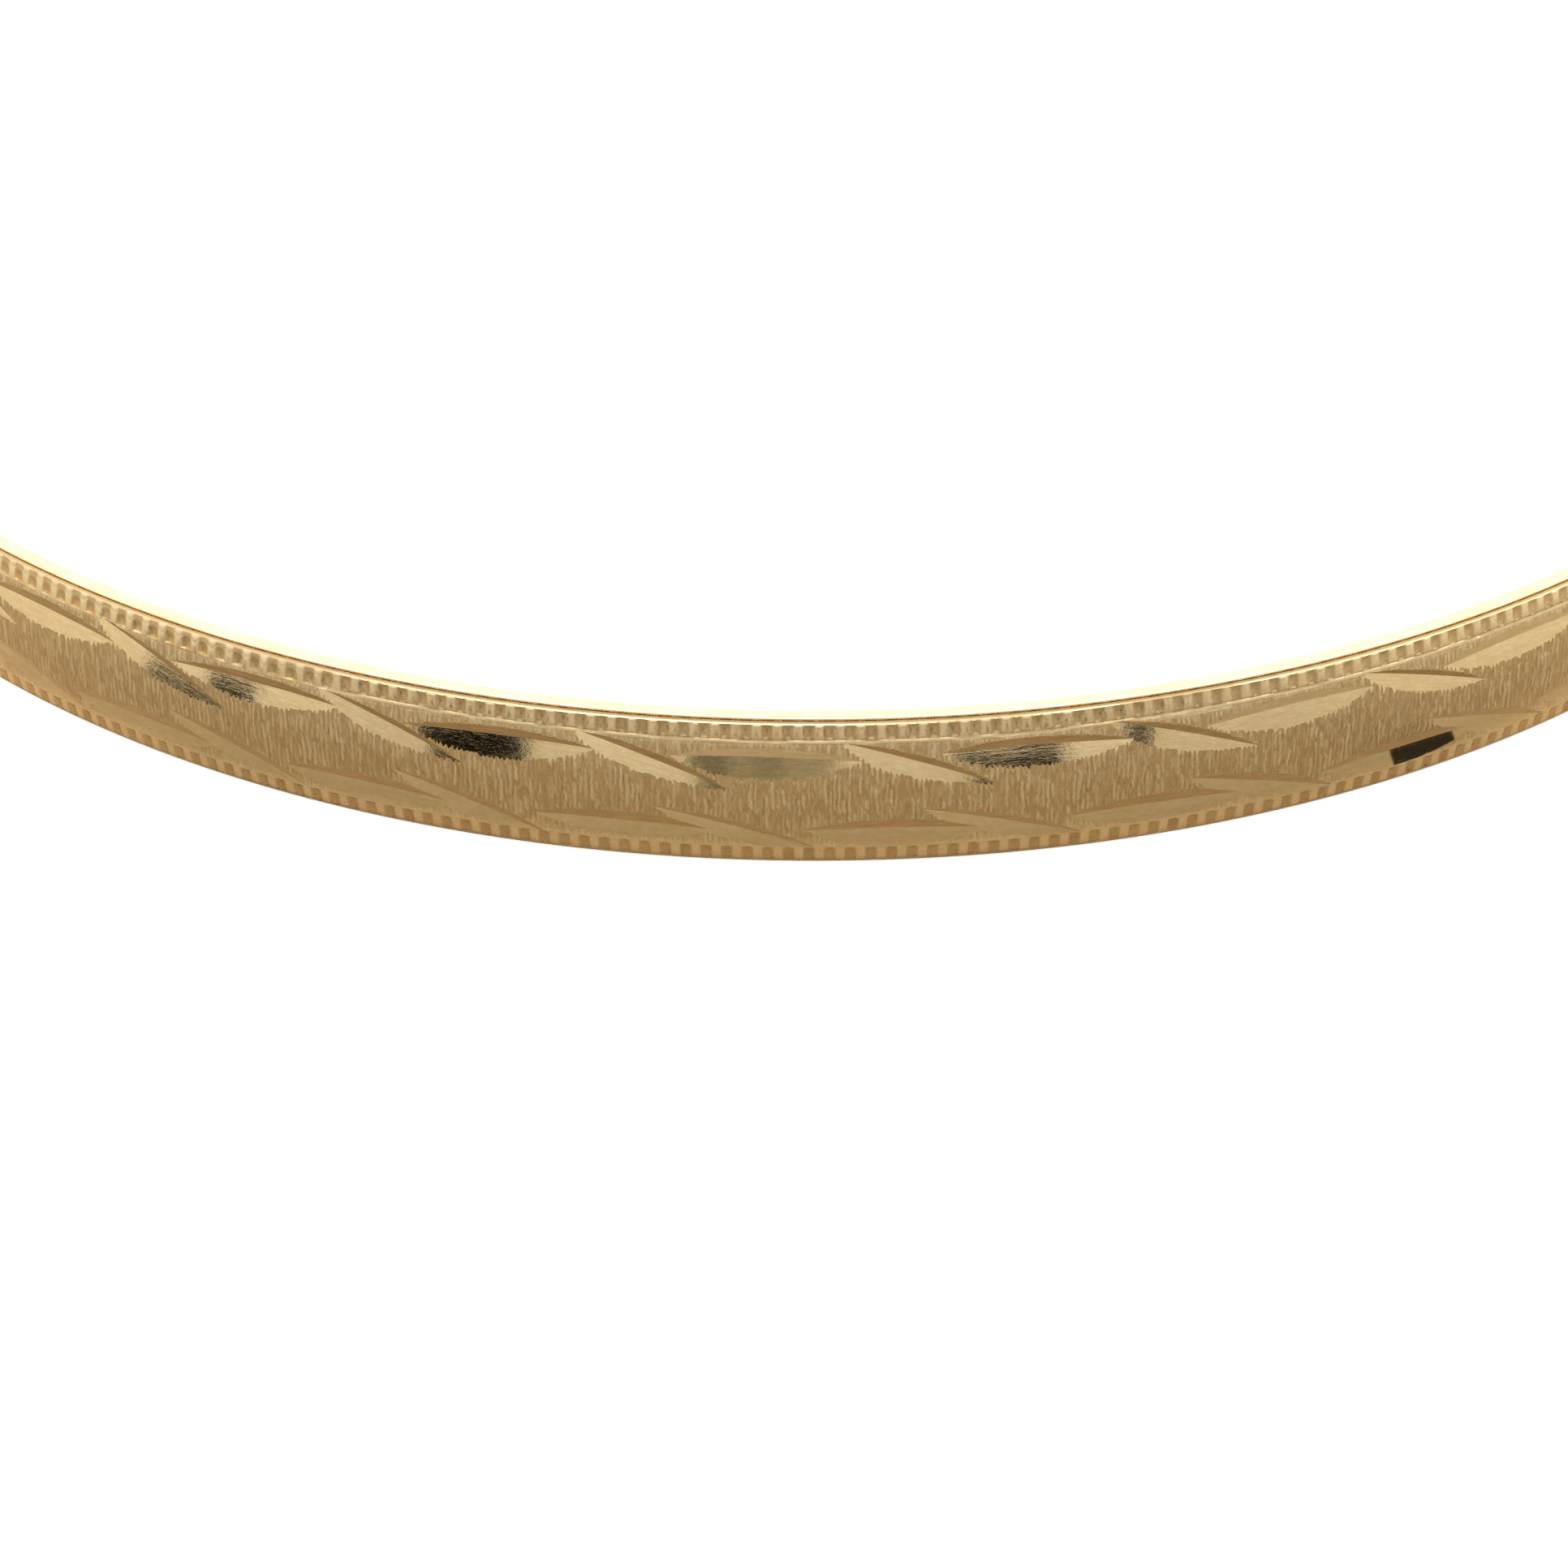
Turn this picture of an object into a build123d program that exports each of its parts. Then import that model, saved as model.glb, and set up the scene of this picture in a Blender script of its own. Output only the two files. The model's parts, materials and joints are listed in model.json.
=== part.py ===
"""A hinged hollow bangle in two half rings, in millimetres.

Z is the ring's axis, and the bangle lies on Z = 0 with the ring's centre on the origin.
The hinge is at +X and the clasp at -X. The front half is on -Y and the back half on +Y.
Every half ring is an engraved outer shell on a smooth liner, closed at each end by a plate.
"""

import math
import os

from build123d import *

# Band section: radii are from Z, heights are from the surface that the bangle lies on.
EDGE_RADIUS = 31.6  # outer edge of the engraved shell
BAND_WIDTH = 4.25  # rim to rim
RIM_OUTER_RADIUS = 31.46  # the flat polished rim stops short of the shell's edge
RIM_INNER_RADIUS = 31.14
RIM_STEP = 0.05  # the rim stands this far above the shell's edge
OUTER_DOME = 0.26  # how far the engraved face swells beyond its edges
SHELL_THICKNESS = 0.33
LINER_THICKNESS = 0.25
SEAM_HEIGHT = 0.35  # the flat inside each edge of the shell that the liner is soldered to
BEVEL_ANGLE = 47  # the liner's slope below the rim's plane, in degrees
CREST_RADIUS = 1.5  # the liner's crest, in section

# Bright-cut leaves, repeated round the band. Each is a straight V groove across the domed face, with a
# wide facet below its valley and a narrow wall above it. Angles are round Z from -Y towards +X.
PATTERN_REPEATS = 30
LEAVES = {
    # name: angle, valley above mid-height, length, tilt in degrees, facet width, wall width
    "upper_leaning": (4.45, 0.95, 4.15, -18.6, 0.50, 0.20),
    "upper_level": (9.65, 1.11, 4.85, 0.0, 0.58, 0.30),
    "lower_leaning": (8.25, -0.97, 4.25, -17.5, 0.44, 0.26),
    "lower_level": (3.35, -1.05, 4.95, 0.0, 0.49, 0.33),
}
CUT_HEIGHT = 0.5  # the cutting prisms stand this far out of the valley
CUT_LIMIT_ANGLE = 87.5  # no leaf reaches further from the middle of its half than this

# End plates
JOINT_GAP = 0.03  # each half stops this far short of Y = 0
PLATE_THICKNESS = 0.45

# Hinge
HINGE_RADIUS = 31.95  # from Z to the hinge pin
BARREL_RADIUS = 0.8
BARREL_RELIEF = 0.07  # around the other half's barrel
PIN_RADIUS = 0.35
PIN_RUNNING_CLEARANCE = 0.03
PIN_HEAD_RADIUS = 0.5
PIN_HEAD_HEIGHT = 0.13
KNUCKLE_MARGIN = 0.2  # from each rim to the nearest knuckle
KNUCKLE_GAP = 0.03
FOOT_DEPTH = 1.0  # a knuckle's foot, into its own half
FOOT_COVER = 0.1  # the foot's outer face, inside the barrel's centre

# Clasp: radii are from Z, and Y is measured into the front half as a depth.
TONGUE_WIDTH = 1.6
BLADE_INNER_RADIUS = 30.38
SHEET = 0.2  # the tongue's folded strip
TONGUE_DEPTH = 4.3
FOLD_LENGTH = 0.4
FOLD_OUTER_RADIUS = 30.9
LEAF_START_GAP = 0.05
LEAF_END_RADIUS = 31.1  # the leaf's outer face at the mouth
SHOULDER_RADIUS = 31.34
SHOULDER_LENGTH = 0.46
MOUTH_WIDTH = 1.8
MOUTH_INNER_RADIUS = 30.34
MOUTH_OUTER_RADIUS = 31.14
TAB_STEM_WIDTH = 0.8
TAB_STEM_LENGTH = 0.45
TAB_STEM_START = 0.14
TAB_PAD_WIDTH = 1.7
TAB_PAD_LENGTH = 0.95
TAB_PAD_HEIGHT = 0.42
TAB_NOTCH_WIDTH = 1.1
TAB_NOTCH_LENGTH = 0.95
TAB_CORNER_RADIUS = 0.38
TAB_EDGE_RADIUS = 0.168

# Safety catch, a wire loop that lies along the top rim across the joint
CATCH_RADIUS = 31.0  # from Z to the middle of the catch
CATCH_REACH = 1.9  # from the joint to the pivot, and from the joint to the post
CATCH_WIRE_RADIUS = 0.16
CATCH_TUBE_RADIUS = 0.34
CATCH_TUBE_LENGTH = 0.8
CATCH_TUBE_BORE_RADIUS = 0.2
CATCH_HALF_WIDTH = 0.62
CATCH_WAIST_HALF_WIDTH = 0.2
CATCH_SHOULDER = 0.9  # how far the wide end reaches from the pivot
CATCH_TAPER_END = 0.45  # from the joint, on the pivot's side
POST_LOOP_START = 0.75  # from the post, where the loop round it begins to open
POST_LOOP_FLAT = 0.3  # half of the straight side of that loop
CATCH_BEND_GAP = 0.04  # the wire's bends are this much larger than its radius
SEAT_LENGTH = 1.2
SEAT_INNER_RADIUS = 30.55
SEAT_OUTER_RADIUS = 31.45
SEAT_HEIGHT = 0.12
SEAT_REACH = 1.0  # the seat starts this far above mid-height, inside the liner's bevel
POST_RADIUS = 0.2
POST_BALL_RADIUS = 0.38
POST_BALL_HEIGHT = 0.62  # the ball's centre above the rims

MID_HEIGHT = BAND_WIDTH / 2
SHELL_INNER_RADIUS = EDGE_RADIUS - SHELL_THICKNESS
SHELL_TOP = BAND_WIDTH - RIM_STEP
SHELL_HALF_HEIGHT = SHELL_TOP - MID_HEIGHT
DOME_RADIUS = (SHELL_HALF_HEIGHT**2 + OUTER_DOME**2) / (2 * OUTER_DOME)
CREST_CENTRE_RADIUS = RIM_INNER_RADIUS - MID_HEIGHT / math.tan(math.radians(BEVEL_ANGLE)) + (
    CREST_RADIUS / math.sin(math.radians(BEVEL_ANGLE))
)
END_DEPTH = JOINT_GAP + PLATE_THICKNESS
CATCH_HEIGHT = BAND_WIDTH + SEAT_HEIGHT + CATCH_TUBE_RADIUS
TAB_TOP_RADIUS = HINGE_RADIUS + BARREL_RADIUS
HINGE_AXIS = Location((HINGE_RADIUS, 0, 0))

os.makedirs("parts", exist_ok=True)


def write(piece, name):
    """Label a finished piece and write it to its own file."""
    piece.part.label = name
    export_step(piece.part, f"parts/{name}.step")


def crest_line(offset):
    """The liner's inner side (offset 0) or cavity side (offset its thickness), top to bottom.

    It returns the points where the bevels start, the tangent points and the crest's middle.
    """
    angle = math.radians(BEVEL_ANGLE)
    radius = CREST_RADIUS - offset
    tangent = (
        CREST_CENTRE_RADIUS - radius * math.sin(angle),
        radius * math.cos(angle),
    )
    start_radius = SHELL_INNER_RADIUS if offset else RIM_INNER_RADIUS
    start = (start_radius, tangent[1] + (start_radius - tangent[0]) * math.tan(angle))
    crest = (CREST_CENTRE_RADIUS - radius, 0)
    return start, tangent, crest


def above(point):
    """A section point given from mid-height, in the section's own frame."""
    return (point[0], MID_HEIGHT + point[1])


def below(point):
    """The mirror image of above()."""
    return (point[0], MID_HEIGHT - point[1])


def dome_arc():
    """The engraved face in section, from the shell's lower edge to its upper edge."""
    return ThreePointArc(
        (EDGE_RADIUS, RIM_STEP), (EDGE_RADIUS + OUTER_DOME, MID_HEIGHT), (EDGE_RADIUS, SHELL_TOP)
    )


def shell_section():
    """The engraved outer shell: a domed strip whose edges are soldered under the liner's lips."""
    with BuildSketch(Plane.XZ) as section:
        with BuildLine():
            dome_arc()
            Polyline(
                (EDGE_RADIUS, SHELL_TOP),
                (SHELL_INNER_RADIUS, SHELL_TOP),
                (SHELL_INNER_RADIUS, SHELL_TOP - SEAM_HEIGHT),
            )
            ThreePointArc(
                (SHELL_INNER_RADIUS, SHELL_TOP - SEAM_HEIGHT),
                (SHELL_INNER_RADIUS + OUTER_DOME, MID_HEIGHT),
                (SHELL_INNER_RADIUS, RIM_STEP + SEAM_HEIGHT),
            )
            Polyline(
                (SHELL_INNER_RADIUS, RIM_STEP + SEAM_HEIGHT),
                (SHELL_INNER_RADIUS, RIM_STEP),
                (EDGE_RADIUS, RIM_STEP),
            )
        make_face()
    return section.sketch


def liner_section():
    """The smooth liner: a crest towards the wrist, bevels, and a lip at each rim."""
    inner_start, inner_tangent, inner_crest = crest_line(0)
    cavity_start, cavity_tangent, cavity_crest = crest_line(LINER_THICKNESS)
    with BuildSketch(Plane.XZ) as section:
        with BuildLine():
            Polyline(
                above(inner_tangent),
                above(inner_start),
                (RIM_OUTER_RADIUS, BAND_WIDTH),
                (RIM_OUTER_RADIUS, SHELL_TOP),
                (SHELL_INNER_RADIUS, SHELL_TOP),
                above(cavity_start),
                above(cavity_tangent),
            )
            ThreePointArc(above(cavity_tangent), above(cavity_crest), below(cavity_tangent))
            Polyline(
                below(cavity_tangent),
                below(cavity_start),
                (SHELL_INNER_RADIUS, RIM_STEP),
                (RIM_OUTER_RADIUS, RIM_STEP),
                (RIM_OUTER_RADIUS, 0),
                below(inner_start),
                below(inner_tangent),
            )
            ThreePointArc(below(inner_tangent), above(inner_crest), above(inner_tangent))
        make_face()
    return section.sketch


def band_section():
    """The outline of the whole band, filled: the shape of an end plate."""
    start, tangent, crest = crest_line(0)
    with BuildSketch(Plane.XZ) as section:
        with BuildLine():
            dome_arc()
            Polyline(
                (EDGE_RADIUS, SHELL_TOP),
                (RIM_OUTER_RADIUS, SHELL_TOP),
                (RIM_OUTER_RADIUS, BAND_WIDTH),
                above(start),
                above(tangent),
            )
            ThreePointArc(above(tangent), above(crest), below(tangent))
            Polyline(
                below(tangent),
                below(start),
                (RIM_OUTER_RADIUS, 0),
                (RIM_OUTER_RADIUS, RIM_STEP),
                (EDGE_RADIUS, RIM_STEP),
            )
        make_face()
    return section.sketch


def solid_band():
    """The whole ring, filled, which the catch's seats are fitted to."""
    with BuildPart() as band:
        revolve(band_section(), axis=Axis.Z)
    return band.part


def block(x_range, y_range, z_range):
    """A plain box between two corners, for cutting."""
    size = [high - low for low, high in (x_range, y_range, z_range)]
    middle = [(high + low) / 2 for low, high in (x_range, y_range, z_range)]
    return Pos(*middle) * Box(*size, mode=Mode.PRIVATE)


def hinge_cylinder(radius, z_range):
    """A cylinder on the hinge's axis between two heights."""
    with BuildPart() as cylinder:
        with BuildSketch(Plane.XY.offset(z_range[0])):
            with Locations((HINGE_RADIUS, 0)):
                Circle(radius)
        extrude(amount=z_range[1] - z_range[0])
    return cylinder.part


# The three knuckles share the barrel's length, with a running gap between them.
KNUCKLE_HEIGHT = (BAND_WIDTH - 2 * KNUCKLE_MARGIN - 2 * KNUCKLE_GAP) / 3
KNUCKLE_PITCH = KNUCKLE_HEIGHT + KNUCKLE_GAP
LOWER_RANGE, CENTRE_RANGE, UPPER_RANGE = [
    (KNUCKLE_MARGIN + i * KNUCKLE_PITCH, KNUCKLE_MARGIN + i * KNUCKLE_PITCH + KNUCKLE_HEIGHT)
    for i in range(3)
]
FOOT_X = (HINGE_RADIUS - BARREL_RADIUS, HINGE_RADIUS - FOOT_COVER)


def widened(z_range, by):
    """A height range, longer by the same amount at both ends."""
    return (z_range[0] - by, z_range[1] + by)


def hinge_cutouts(side):
    """What the hinge takes out of one half. Side is -1 for the front half and 1 for the back.

    A half has a pocket for each foot of its own knuckles, and a round relief for the others.
    """
    own = [LOWER_RANGE, UPPER_RANGE] if side < 0 else [CENTRE_RANGE]
    other = [CENTRE_RANGE] if side < 0 else [
        (-KNUCKLE_GAP, LOWER_RANGE[1]),
        (UPPER_RANGE[0], BAND_WIDTH + KNUCKLE_GAP),
    ]
    pocket_y = sorted((0, side * FOOT_DEPTH))
    outside_x = HINGE_RADIUS + BARREL_RADIUS
    pockets = [block((FOOT_X[0], outside_x), pocket_y, z_range) for z_range in own]
    reliefs = [
        hinge_cylinder(BARREL_RADIUS + BARREL_RELIEF, widened(z_range, KNUCKLE_GAP))
        for z_range in other
    ]
    return pockets + reliefs + pin_head_reliefs(side)


def pin_head_reliefs(side):
    """Room for the pin's heads above and below the front half's own knuckles."""
    if side > 0:
        return []
    return [
        hinge_cylinder(PIN_HEAD_RADIUS + BARREL_RELIEF, (-KNUCKLE_GAP, KNUCKLE_MARGIN)),
        hinge_cylinder(
            PIN_HEAD_RADIUS + BARREL_RELIEF, (BAND_WIDTH - KNUCKLE_MARGIN, BAND_WIDTH + KNUCKLE_GAP)
        ),
    ]


def keep_side(side, depth):
    """Keep the part of the current piece that lies deeper than depth in one half."""
    if side < 0:
        split(bisect_by=Plane.XZ.offset(depth), keep=Keep.TOP)
    else:
        split(bisect_by=Plane.XZ.offset(-depth), keep=Keep.BOTTOM)


def tab_notch():
    """The notch at the back half's end, where the thumb tab's stem moves."""
    return block(
        (-TAB_TOP_RADIUS, -(BLADE_INNER_RADIUS + SHEET)),
        (0, TAB_NOTCH_LENGTH),
        (MID_HEIGHT - TAB_NOTCH_WIDTH / 2, MID_HEIGHT + TAB_NOTCH_WIDTH / 2),
    )


def half_ring(section, side, cuts=()):
    """A half ring of one section, up to its end plates and clear of the hinge and the tab."""
    with BuildPart() as ring:
        revolve(section, axis=Axis.Z)
        keep_side(side, END_DEPTH)
        add(hinge_cutouts(side), mode=Mode.SUBTRACT)
        if side > 0:
            add(tab_notch(), mode=Mode.SUBTRACT)
        for cut in cuts:
            add(cut, mode=Mode.SUBTRACT)
    return ring


def leaf_cutter(angle, rise, length, tilt, facet_width, wall_width):
    """The prism that cuts one leaf: its lowest edge is the valley, a chord of the domed face.

    The valley meets the surface at both tips, so its depth follows from the leaf's length and
    from how much the face curves along it. The slopes follow from the widths across it.
    """
    face_radius = EDGE_RADIUS + OUTER_DOME - DOME_RADIUS + math.sqrt(DOME_RADIUS**2 - rise**2)
    turn = math.radians(tilt)
    curve_along = math.cos(turn) ** 2 / face_radius + math.sin(turn) ** 2 / DOME_RADIUS
    curve_across = math.sin(turn) ** 2 / face_radius + math.cos(turn) ** 2 / DOME_RADIUS
    depth = curve_along * length**2 / 8
    slopes = [(depth - curve_across * w**2 / 2) / w for w in (facet_width, wall_width)]
    upright = Plane.XZ.rotated((0, 0, angle))
    lean = math.degrees(math.asin(rise / DOME_RADIUS))
    outward = upright.z_dir.rotate(Axis((0, 0, 0), upright.x_dir), -lean)
    foot = upright.z_dir * face_radius + Vector(0, 0, MID_HEIGHT + rise) - outward * depth
    along = upright.x_dir.rotate(Axis((0, 0, 0), outward), tilt)
    valley = Plane(foot, x_dir=outward, z_dir=along)
    with BuildPart() as prism:
        with BuildSketch(valley.offset(-length / 2 - CUT_HEIGHT)):
            with BuildLine():
                Polyline(
                    (0, 0),
                    (CUT_HEIGHT, CUT_HEIGHT / slopes[0]),
                    (CUT_HEIGHT, -CUT_HEIGHT / slopes[1]),
                    close=True,
                )
            make_face()
        extrude(amount=length + 2 * CUT_HEIGHT)
    return prism.part


def leaf_cutters(side):
    """Every leaf of one half, kept clear of the plates at its ends."""
    pitch = 360 / PATTERN_REPEATS
    middle = 0 if side < 0 else 180
    cutters = []
    for repeat in range(-PATTERN_REPEATS // 4 - 1, PATTERN_REPEATS // 4 + 1):
        for angle, *shape in LEAVES.values():
            from_middle = angle + repeat * pitch
            reach = math.degrees(shape[1] / 2 / EDGE_RADIUS)
            if abs(from_middle) + reach < CUT_LIMIT_ANGLE:
                cutters.append(leaf_cutter(middle + from_middle, *shape))
    return cutters


def end_plate(side, at_hinge):
    """A plate that closes one end of a half ring, flush with the shell and the liner."""
    x_range = (0, 2 * EDGE_RADIUS) if at_hinge else (-2 * EDGE_RADIUS, 0)
    y_range = sorted((side * JOINT_GAP, side * END_DEPTH))
    with BuildPart() as plate:
        revolve(band_section(), axis=Axis.Z)
        add(block(x_range, y_range, (0, BAND_WIDTH)), mode=Mode.INTERSECT)
        if at_hinge:
            add(hinge_cutouts(side), mode=Mode.SUBTRACT)
    return plate


# Half rings
front_outer_shell = half_ring(shell_section(), -1, leaf_cutters(-1))
write(front_outer_shell, "front_outer_shell")
front_liner = half_ring(liner_section(), -1)
write(front_liner, "front_liner")
back_outer_shell = half_ring(shell_section(), 1, leaf_cutters(1))
write(back_outer_shell, "back_outer_shell")
back_liner = half_ring(liner_section(), 1)
write(back_liner, "back_liner")

# End plates
write(end_plate(-1, True), "front_hinge_end_plate")
write(end_plate(1, True), "back_hinge_end_plate")

with BuildPart() as clasp_mouth_plate:
    add(end_plate(-1, False).part)
    with BuildSketch(Plane.XZ.offset(JOINT_GAP)):
        with Locations((-(MOUTH_INNER_RADIUS + MOUTH_OUTER_RADIUS) / 2, MID_HEIGHT)):
            Rectangle(MOUTH_OUTER_RADIUS - MOUTH_INNER_RADIUS, MOUTH_WIDTH)
    extrude(amount=PLATE_THICKNESS, mode=Mode.SUBTRACT)
write(clasp_mouth_plate, "clasp_mouth_plate")

with BuildPart() as tongue_end_plate:
    add(end_plate(1, False).part)
    add(tab_notch(), mode=Mode.SUBTRACT)
    with BuildSketch(Plane.XZ.offset(-END_DEPTH)):
        with Locations((-(BLADE_INNER_RADIUS + SHEET / 2), MID_HEIGHT)):
            Rectangle(SHEET, TONGUE_WIDTH)
    extrude(amount=PLATE_THICKNESS, mode=Mode.SUBTRACT)
write(tongue_end_plate, "tongue_end_plate")


def knuckle(z_range, side, bore_radius):
    """One hinge knuckle: a barrel on the pin with a foot let into its own half."""
    foot_y = sorted((0, side * FOOT_DEPTH))
    with BuildPart() as piece:
        add(hinge_cylinder(BARREL_RADIUS, z_range))
        add(block(FOOT_X, foot_y, z_range))
        add(hinge_cylinder(bore_radius, z_range), mode=Mode.SUBTRACT)
    return piece


# Hinge
write(knuckle(LOWER_RANGE, -1, PIN_RADIUS), "lower_hinge_knuckle")
write(knuckle(UPPER_RANGE, -1, PIN_RADIUS), "upper_hinge_knuckle")
write(knuckle(CENTRE_RANGE, 1, PIN_RADIUS + PIN_RUNNING_CLEARANCE), "centre_hinge_knuckle")

with BuildPart() as hinge_pin:
    add(hinge_cylinder(PIN_RADIUS, (LOWER_RANGE[0], UPPER_RANGE[1])))
    add(hinge_cylinder(PIN_HEAD_RADIUS, (LOWER_RANGE[0] - PIN_HEAD_HEIGHT, LOWER_RANGE[0])))
    add(hinge_cylinder(PIN_HEAD_RADIUS, (UPPER_RANGE[1], UPPER_RANGE[1] + PIN_HEAD_HEIGHT)))
    ends = hinge_pin.edges().filter_by(GeomType.CIRCLE).group_by(Axis.Z)
    chamfer(ends[0] + ends[-1], length=PIN_HEAD_HEIGHT / 3)
write(hinge_pin, "hinge_pin")


def across(width):
    """The height range of a clasp piece of one width, centred on the band."""
    return (MID_HEIGHT - width / 2, MID_HEIGHT + width / 2)


# Clasp. The blade is fixed in the back half. Its fold is at the tip, deep in the front half.
BLADE_OUTER_RADIUS = BLADE_INNER_RADIUS + SHEET
FOLD_MIDDLE_RADIUS = (BLADE_INNER_RADIUS + FOLD_OUTER_RADIUS) / 2
with BuildPart() as tongue_blade:
    with BuildSketch(Plane.XY.offset(MID_HEIGHT - TONGUE_WIDTH / 2)):
        with BuildLine():
            Polyline(
                (-FOLD_OUTER_RADIUS, -TONGUE_DEPTH + FOLD_LENGTH),
                (-FOLD_OUTER_RADIUS, -TONGUE_DEPTH + FOLD_LENGTH / 2),
                (-BLADE_INNER_RADIUS, -TONGUE_DEPTH),
                (-BLADE_INNER_RADIUS, END_DEPTH),
                (-BLADE_OUTER_RADIUS, END_DEPTH),
                (-BLADE_OUTER_RADIUS, -TONGUE_DEPTH + FOLD_LENGTH),
                close=True,
            )
        make_face()
    extrude(amount=TONGUE_WIDTH)
    fold_edges = tongue_blade.edges().filter_by(Axis.Z).sort_by(Axis.Y)[:2]
    fillet(fold_edges, radius=FOLD_LENGTH / 4)
write(tongue_blade, "tongue_blade")

# The sprung leaf turns about the fold, and its shoulder catches behind the mouth plate.
LEAF_TIP_Y = -TONGUE_DEPTH + FOLD_LENGTH + LEAF_START_GAP
SHOULDER_Y = -END_DEPTH - LEAF_START_GAP
STEM_END_Y = TAB_STEM_START + TAB_STEM_LENGTH
with BuildPart() as tongue_spring_leaf:
    with BuildSketch(Plane.XY.offset(MID_HEIGHT - TONGUE_WIDTH / 2)):
        with BuildLine():
            Polyline(
                (-FOLD_OUTER_RADIUS, LEAF_TIP_Y),
                (-LEAF_END_RADIUS, SHOULDER_Y - SHOULDER_LENGTH),
                (-SHOULDER_RADIUS, SHOULDER_Y - SHOULDER_LENGTH / 2),
                (-SHOULDER_RADIUS, SHOULDER_Y),
                (-LEAF_END_RADIUS + SHEET, SHOULDER_Y),
                (-FOLD_OUTER_RADIUS + SHEET, LEAF_TIP_Y),
                close=True,
            )
        make_face()
    extrude(amount=TONGUE_WIDTH)
    add(
        block(
            (-LEAF_END_RADIUS, -LEAF_END_RADIUS + SHEET),
            (SHOULDER_Y, STEM_END_Y),
            across(TAB_STEM_WIDTH),
        )
    )
write(tongue_spring_leaf, "tongue_spring_leaf")

with BuildPart() as thumb_tab:
    add(
        block(
            (-TAB_TOP_RADIUS + TAB_PAD_HEIGHT, -LEAF_END_RADIUS),
            (TAB_STEM_START, STEM_END_Y),
            across(TAB_STEM_WIDTH),
        )
    )
    with BuildSketch(Plane.YZ.offset(-TAB_TOP_RADIUS)):
        with Locations(((TAB_STEM_START + STEM_END_Y) / 2, MID_HEIGHT)):
            RectangleRounded(TAB_PAD_LENGTH, TAB_PAD_WIDTH, TAB_CORNER_RADIUS)
    extrude(amount=TAB_PAD_HEIGHT)
    pad_rim = thumb_tab.faces().sort_by(Axis.X)[0].edges()
    fillet(pad_rim, radius=TAB_EDGE_RADIUS)
write(thumb_tab, "thumb_tab")


def catch_seat(side):
    """A small plate soldered over the top rim and the liner's bevel, beside the joint."""
    y_middle = side * CATCH_REACH
    with BuildPart() as seat:
        add(
            block(
                (-SEAT_OUTER_RADIUS, -SEAT_INNER_RADIUS),
                (y_middle - SEAT_LENGTH / 2, y_middle + SEAT_LENGTH / 2),
                (MID_HEIGHT + SEAT_REACH, BAND_WIDTH + SEAT_HEIGHT),
            )
        )
        add(solid_band(), mode=Mode.SUBTRACT)
    return seat


# Safety catch
write(catch_seat(-1), "catch_post_seat")
write(catch_seat(1), "catch_pivot_seat")

with BuildPart() as catch_post:
    with BuildSketch(Plane.XY.offset(BAND_WIDTH + SEAT_HEIGHT)):
        with Locations((-CATCH_RADIUS, -CATCH_REACH)):
            Circle(POST_RADIUS)
    extrude(amount=POST_BALL_HEIGHT - SEAT_HEIGHT)
    with Locations((-CATCH_RADIUS, -CATCH_REACH, BAND_WIDTH + POST_BALL_HEIGHT)):
        Sphere(POST_BALL_RADIUS)
write(catch_post, "catch_post")

with BuildPart() as catch_pivot_tube:
    with BuildSketch(Plane.YZ.offset(-CATCH_RADIUS - CATCH_TUBE_LENGTH / 2)):
        with Locations((CATCH_REACH, CATCH_HEIGHT)):
            Circle(CATCH_TUBE_RADIUS)
            Circle(CATCH_TUBE_BORE_RADIUS, mode=Mode.SUBTRACT)
    extrude(amount=CATCH_TUBE_LENGTH)
write(catch_pivot_tube, "catch_pivot_tube")

with BuildPart() as safety_catch:
    outer = CATCH_HALF_WIDTH
    waist = CATCH_WAIST_HALF_WIDTH
    loop_end = CATCH_REACH + CATCH_HALF_WIDTH
    right_side = [
        (outer, CATCH_REACH),
        (outer, CATCH_REACH - CATCH_SHOULDER),
        (waist, CATCH_TAPER_END),
        (waist, -CATCH_REACH + POST_LOOP_START),
        (outer, -CATCH_REACH + POST_LOOP_FLAT),
        (outer, -CATCH_REACH - POST_LOOP_FLAT),
        (waist, -loop_end),
    ]
    left_side = [(-x, y) for x, y in reversed(right_side)]
    BEND_RADIUS = CATCH_WIRE_RADIUS + CATCH_BEND_GAP
    with BuildLine(Plane((-CATCH_RADIUS, 0, CATCH_HEIGHT))) as catch_path:
        FilletPolyline(*right_side, *left_side, radius=BEND_RADIUS, close=True)
    with BuildSketch(Plane((-CATCH_RADIUS, CATCH_REACH, CATCH_HEIGHT), z_dir=(1, 0, 0))):
        Circle(CATCH_WIRE_RADIUS)
    sweep(path=catch_path.wires()[0])
write(safety_catch, "safety_catch")
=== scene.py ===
"""Looks for the hinged gold bangle: engraved shells, polished liners, hinge, clasp and studio.

Sizes in this file are in millimetres until to_mesh() turns them into metres.
Angles round the ring are measured from -Y towards +X on the front half, and from +Y towards -X
on the back half, so that the middle of each half is at 0.
"""

import json
import math

import bmesh
import bpy
import numpy as np
from mathutils import Matrix, Vector

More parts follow.
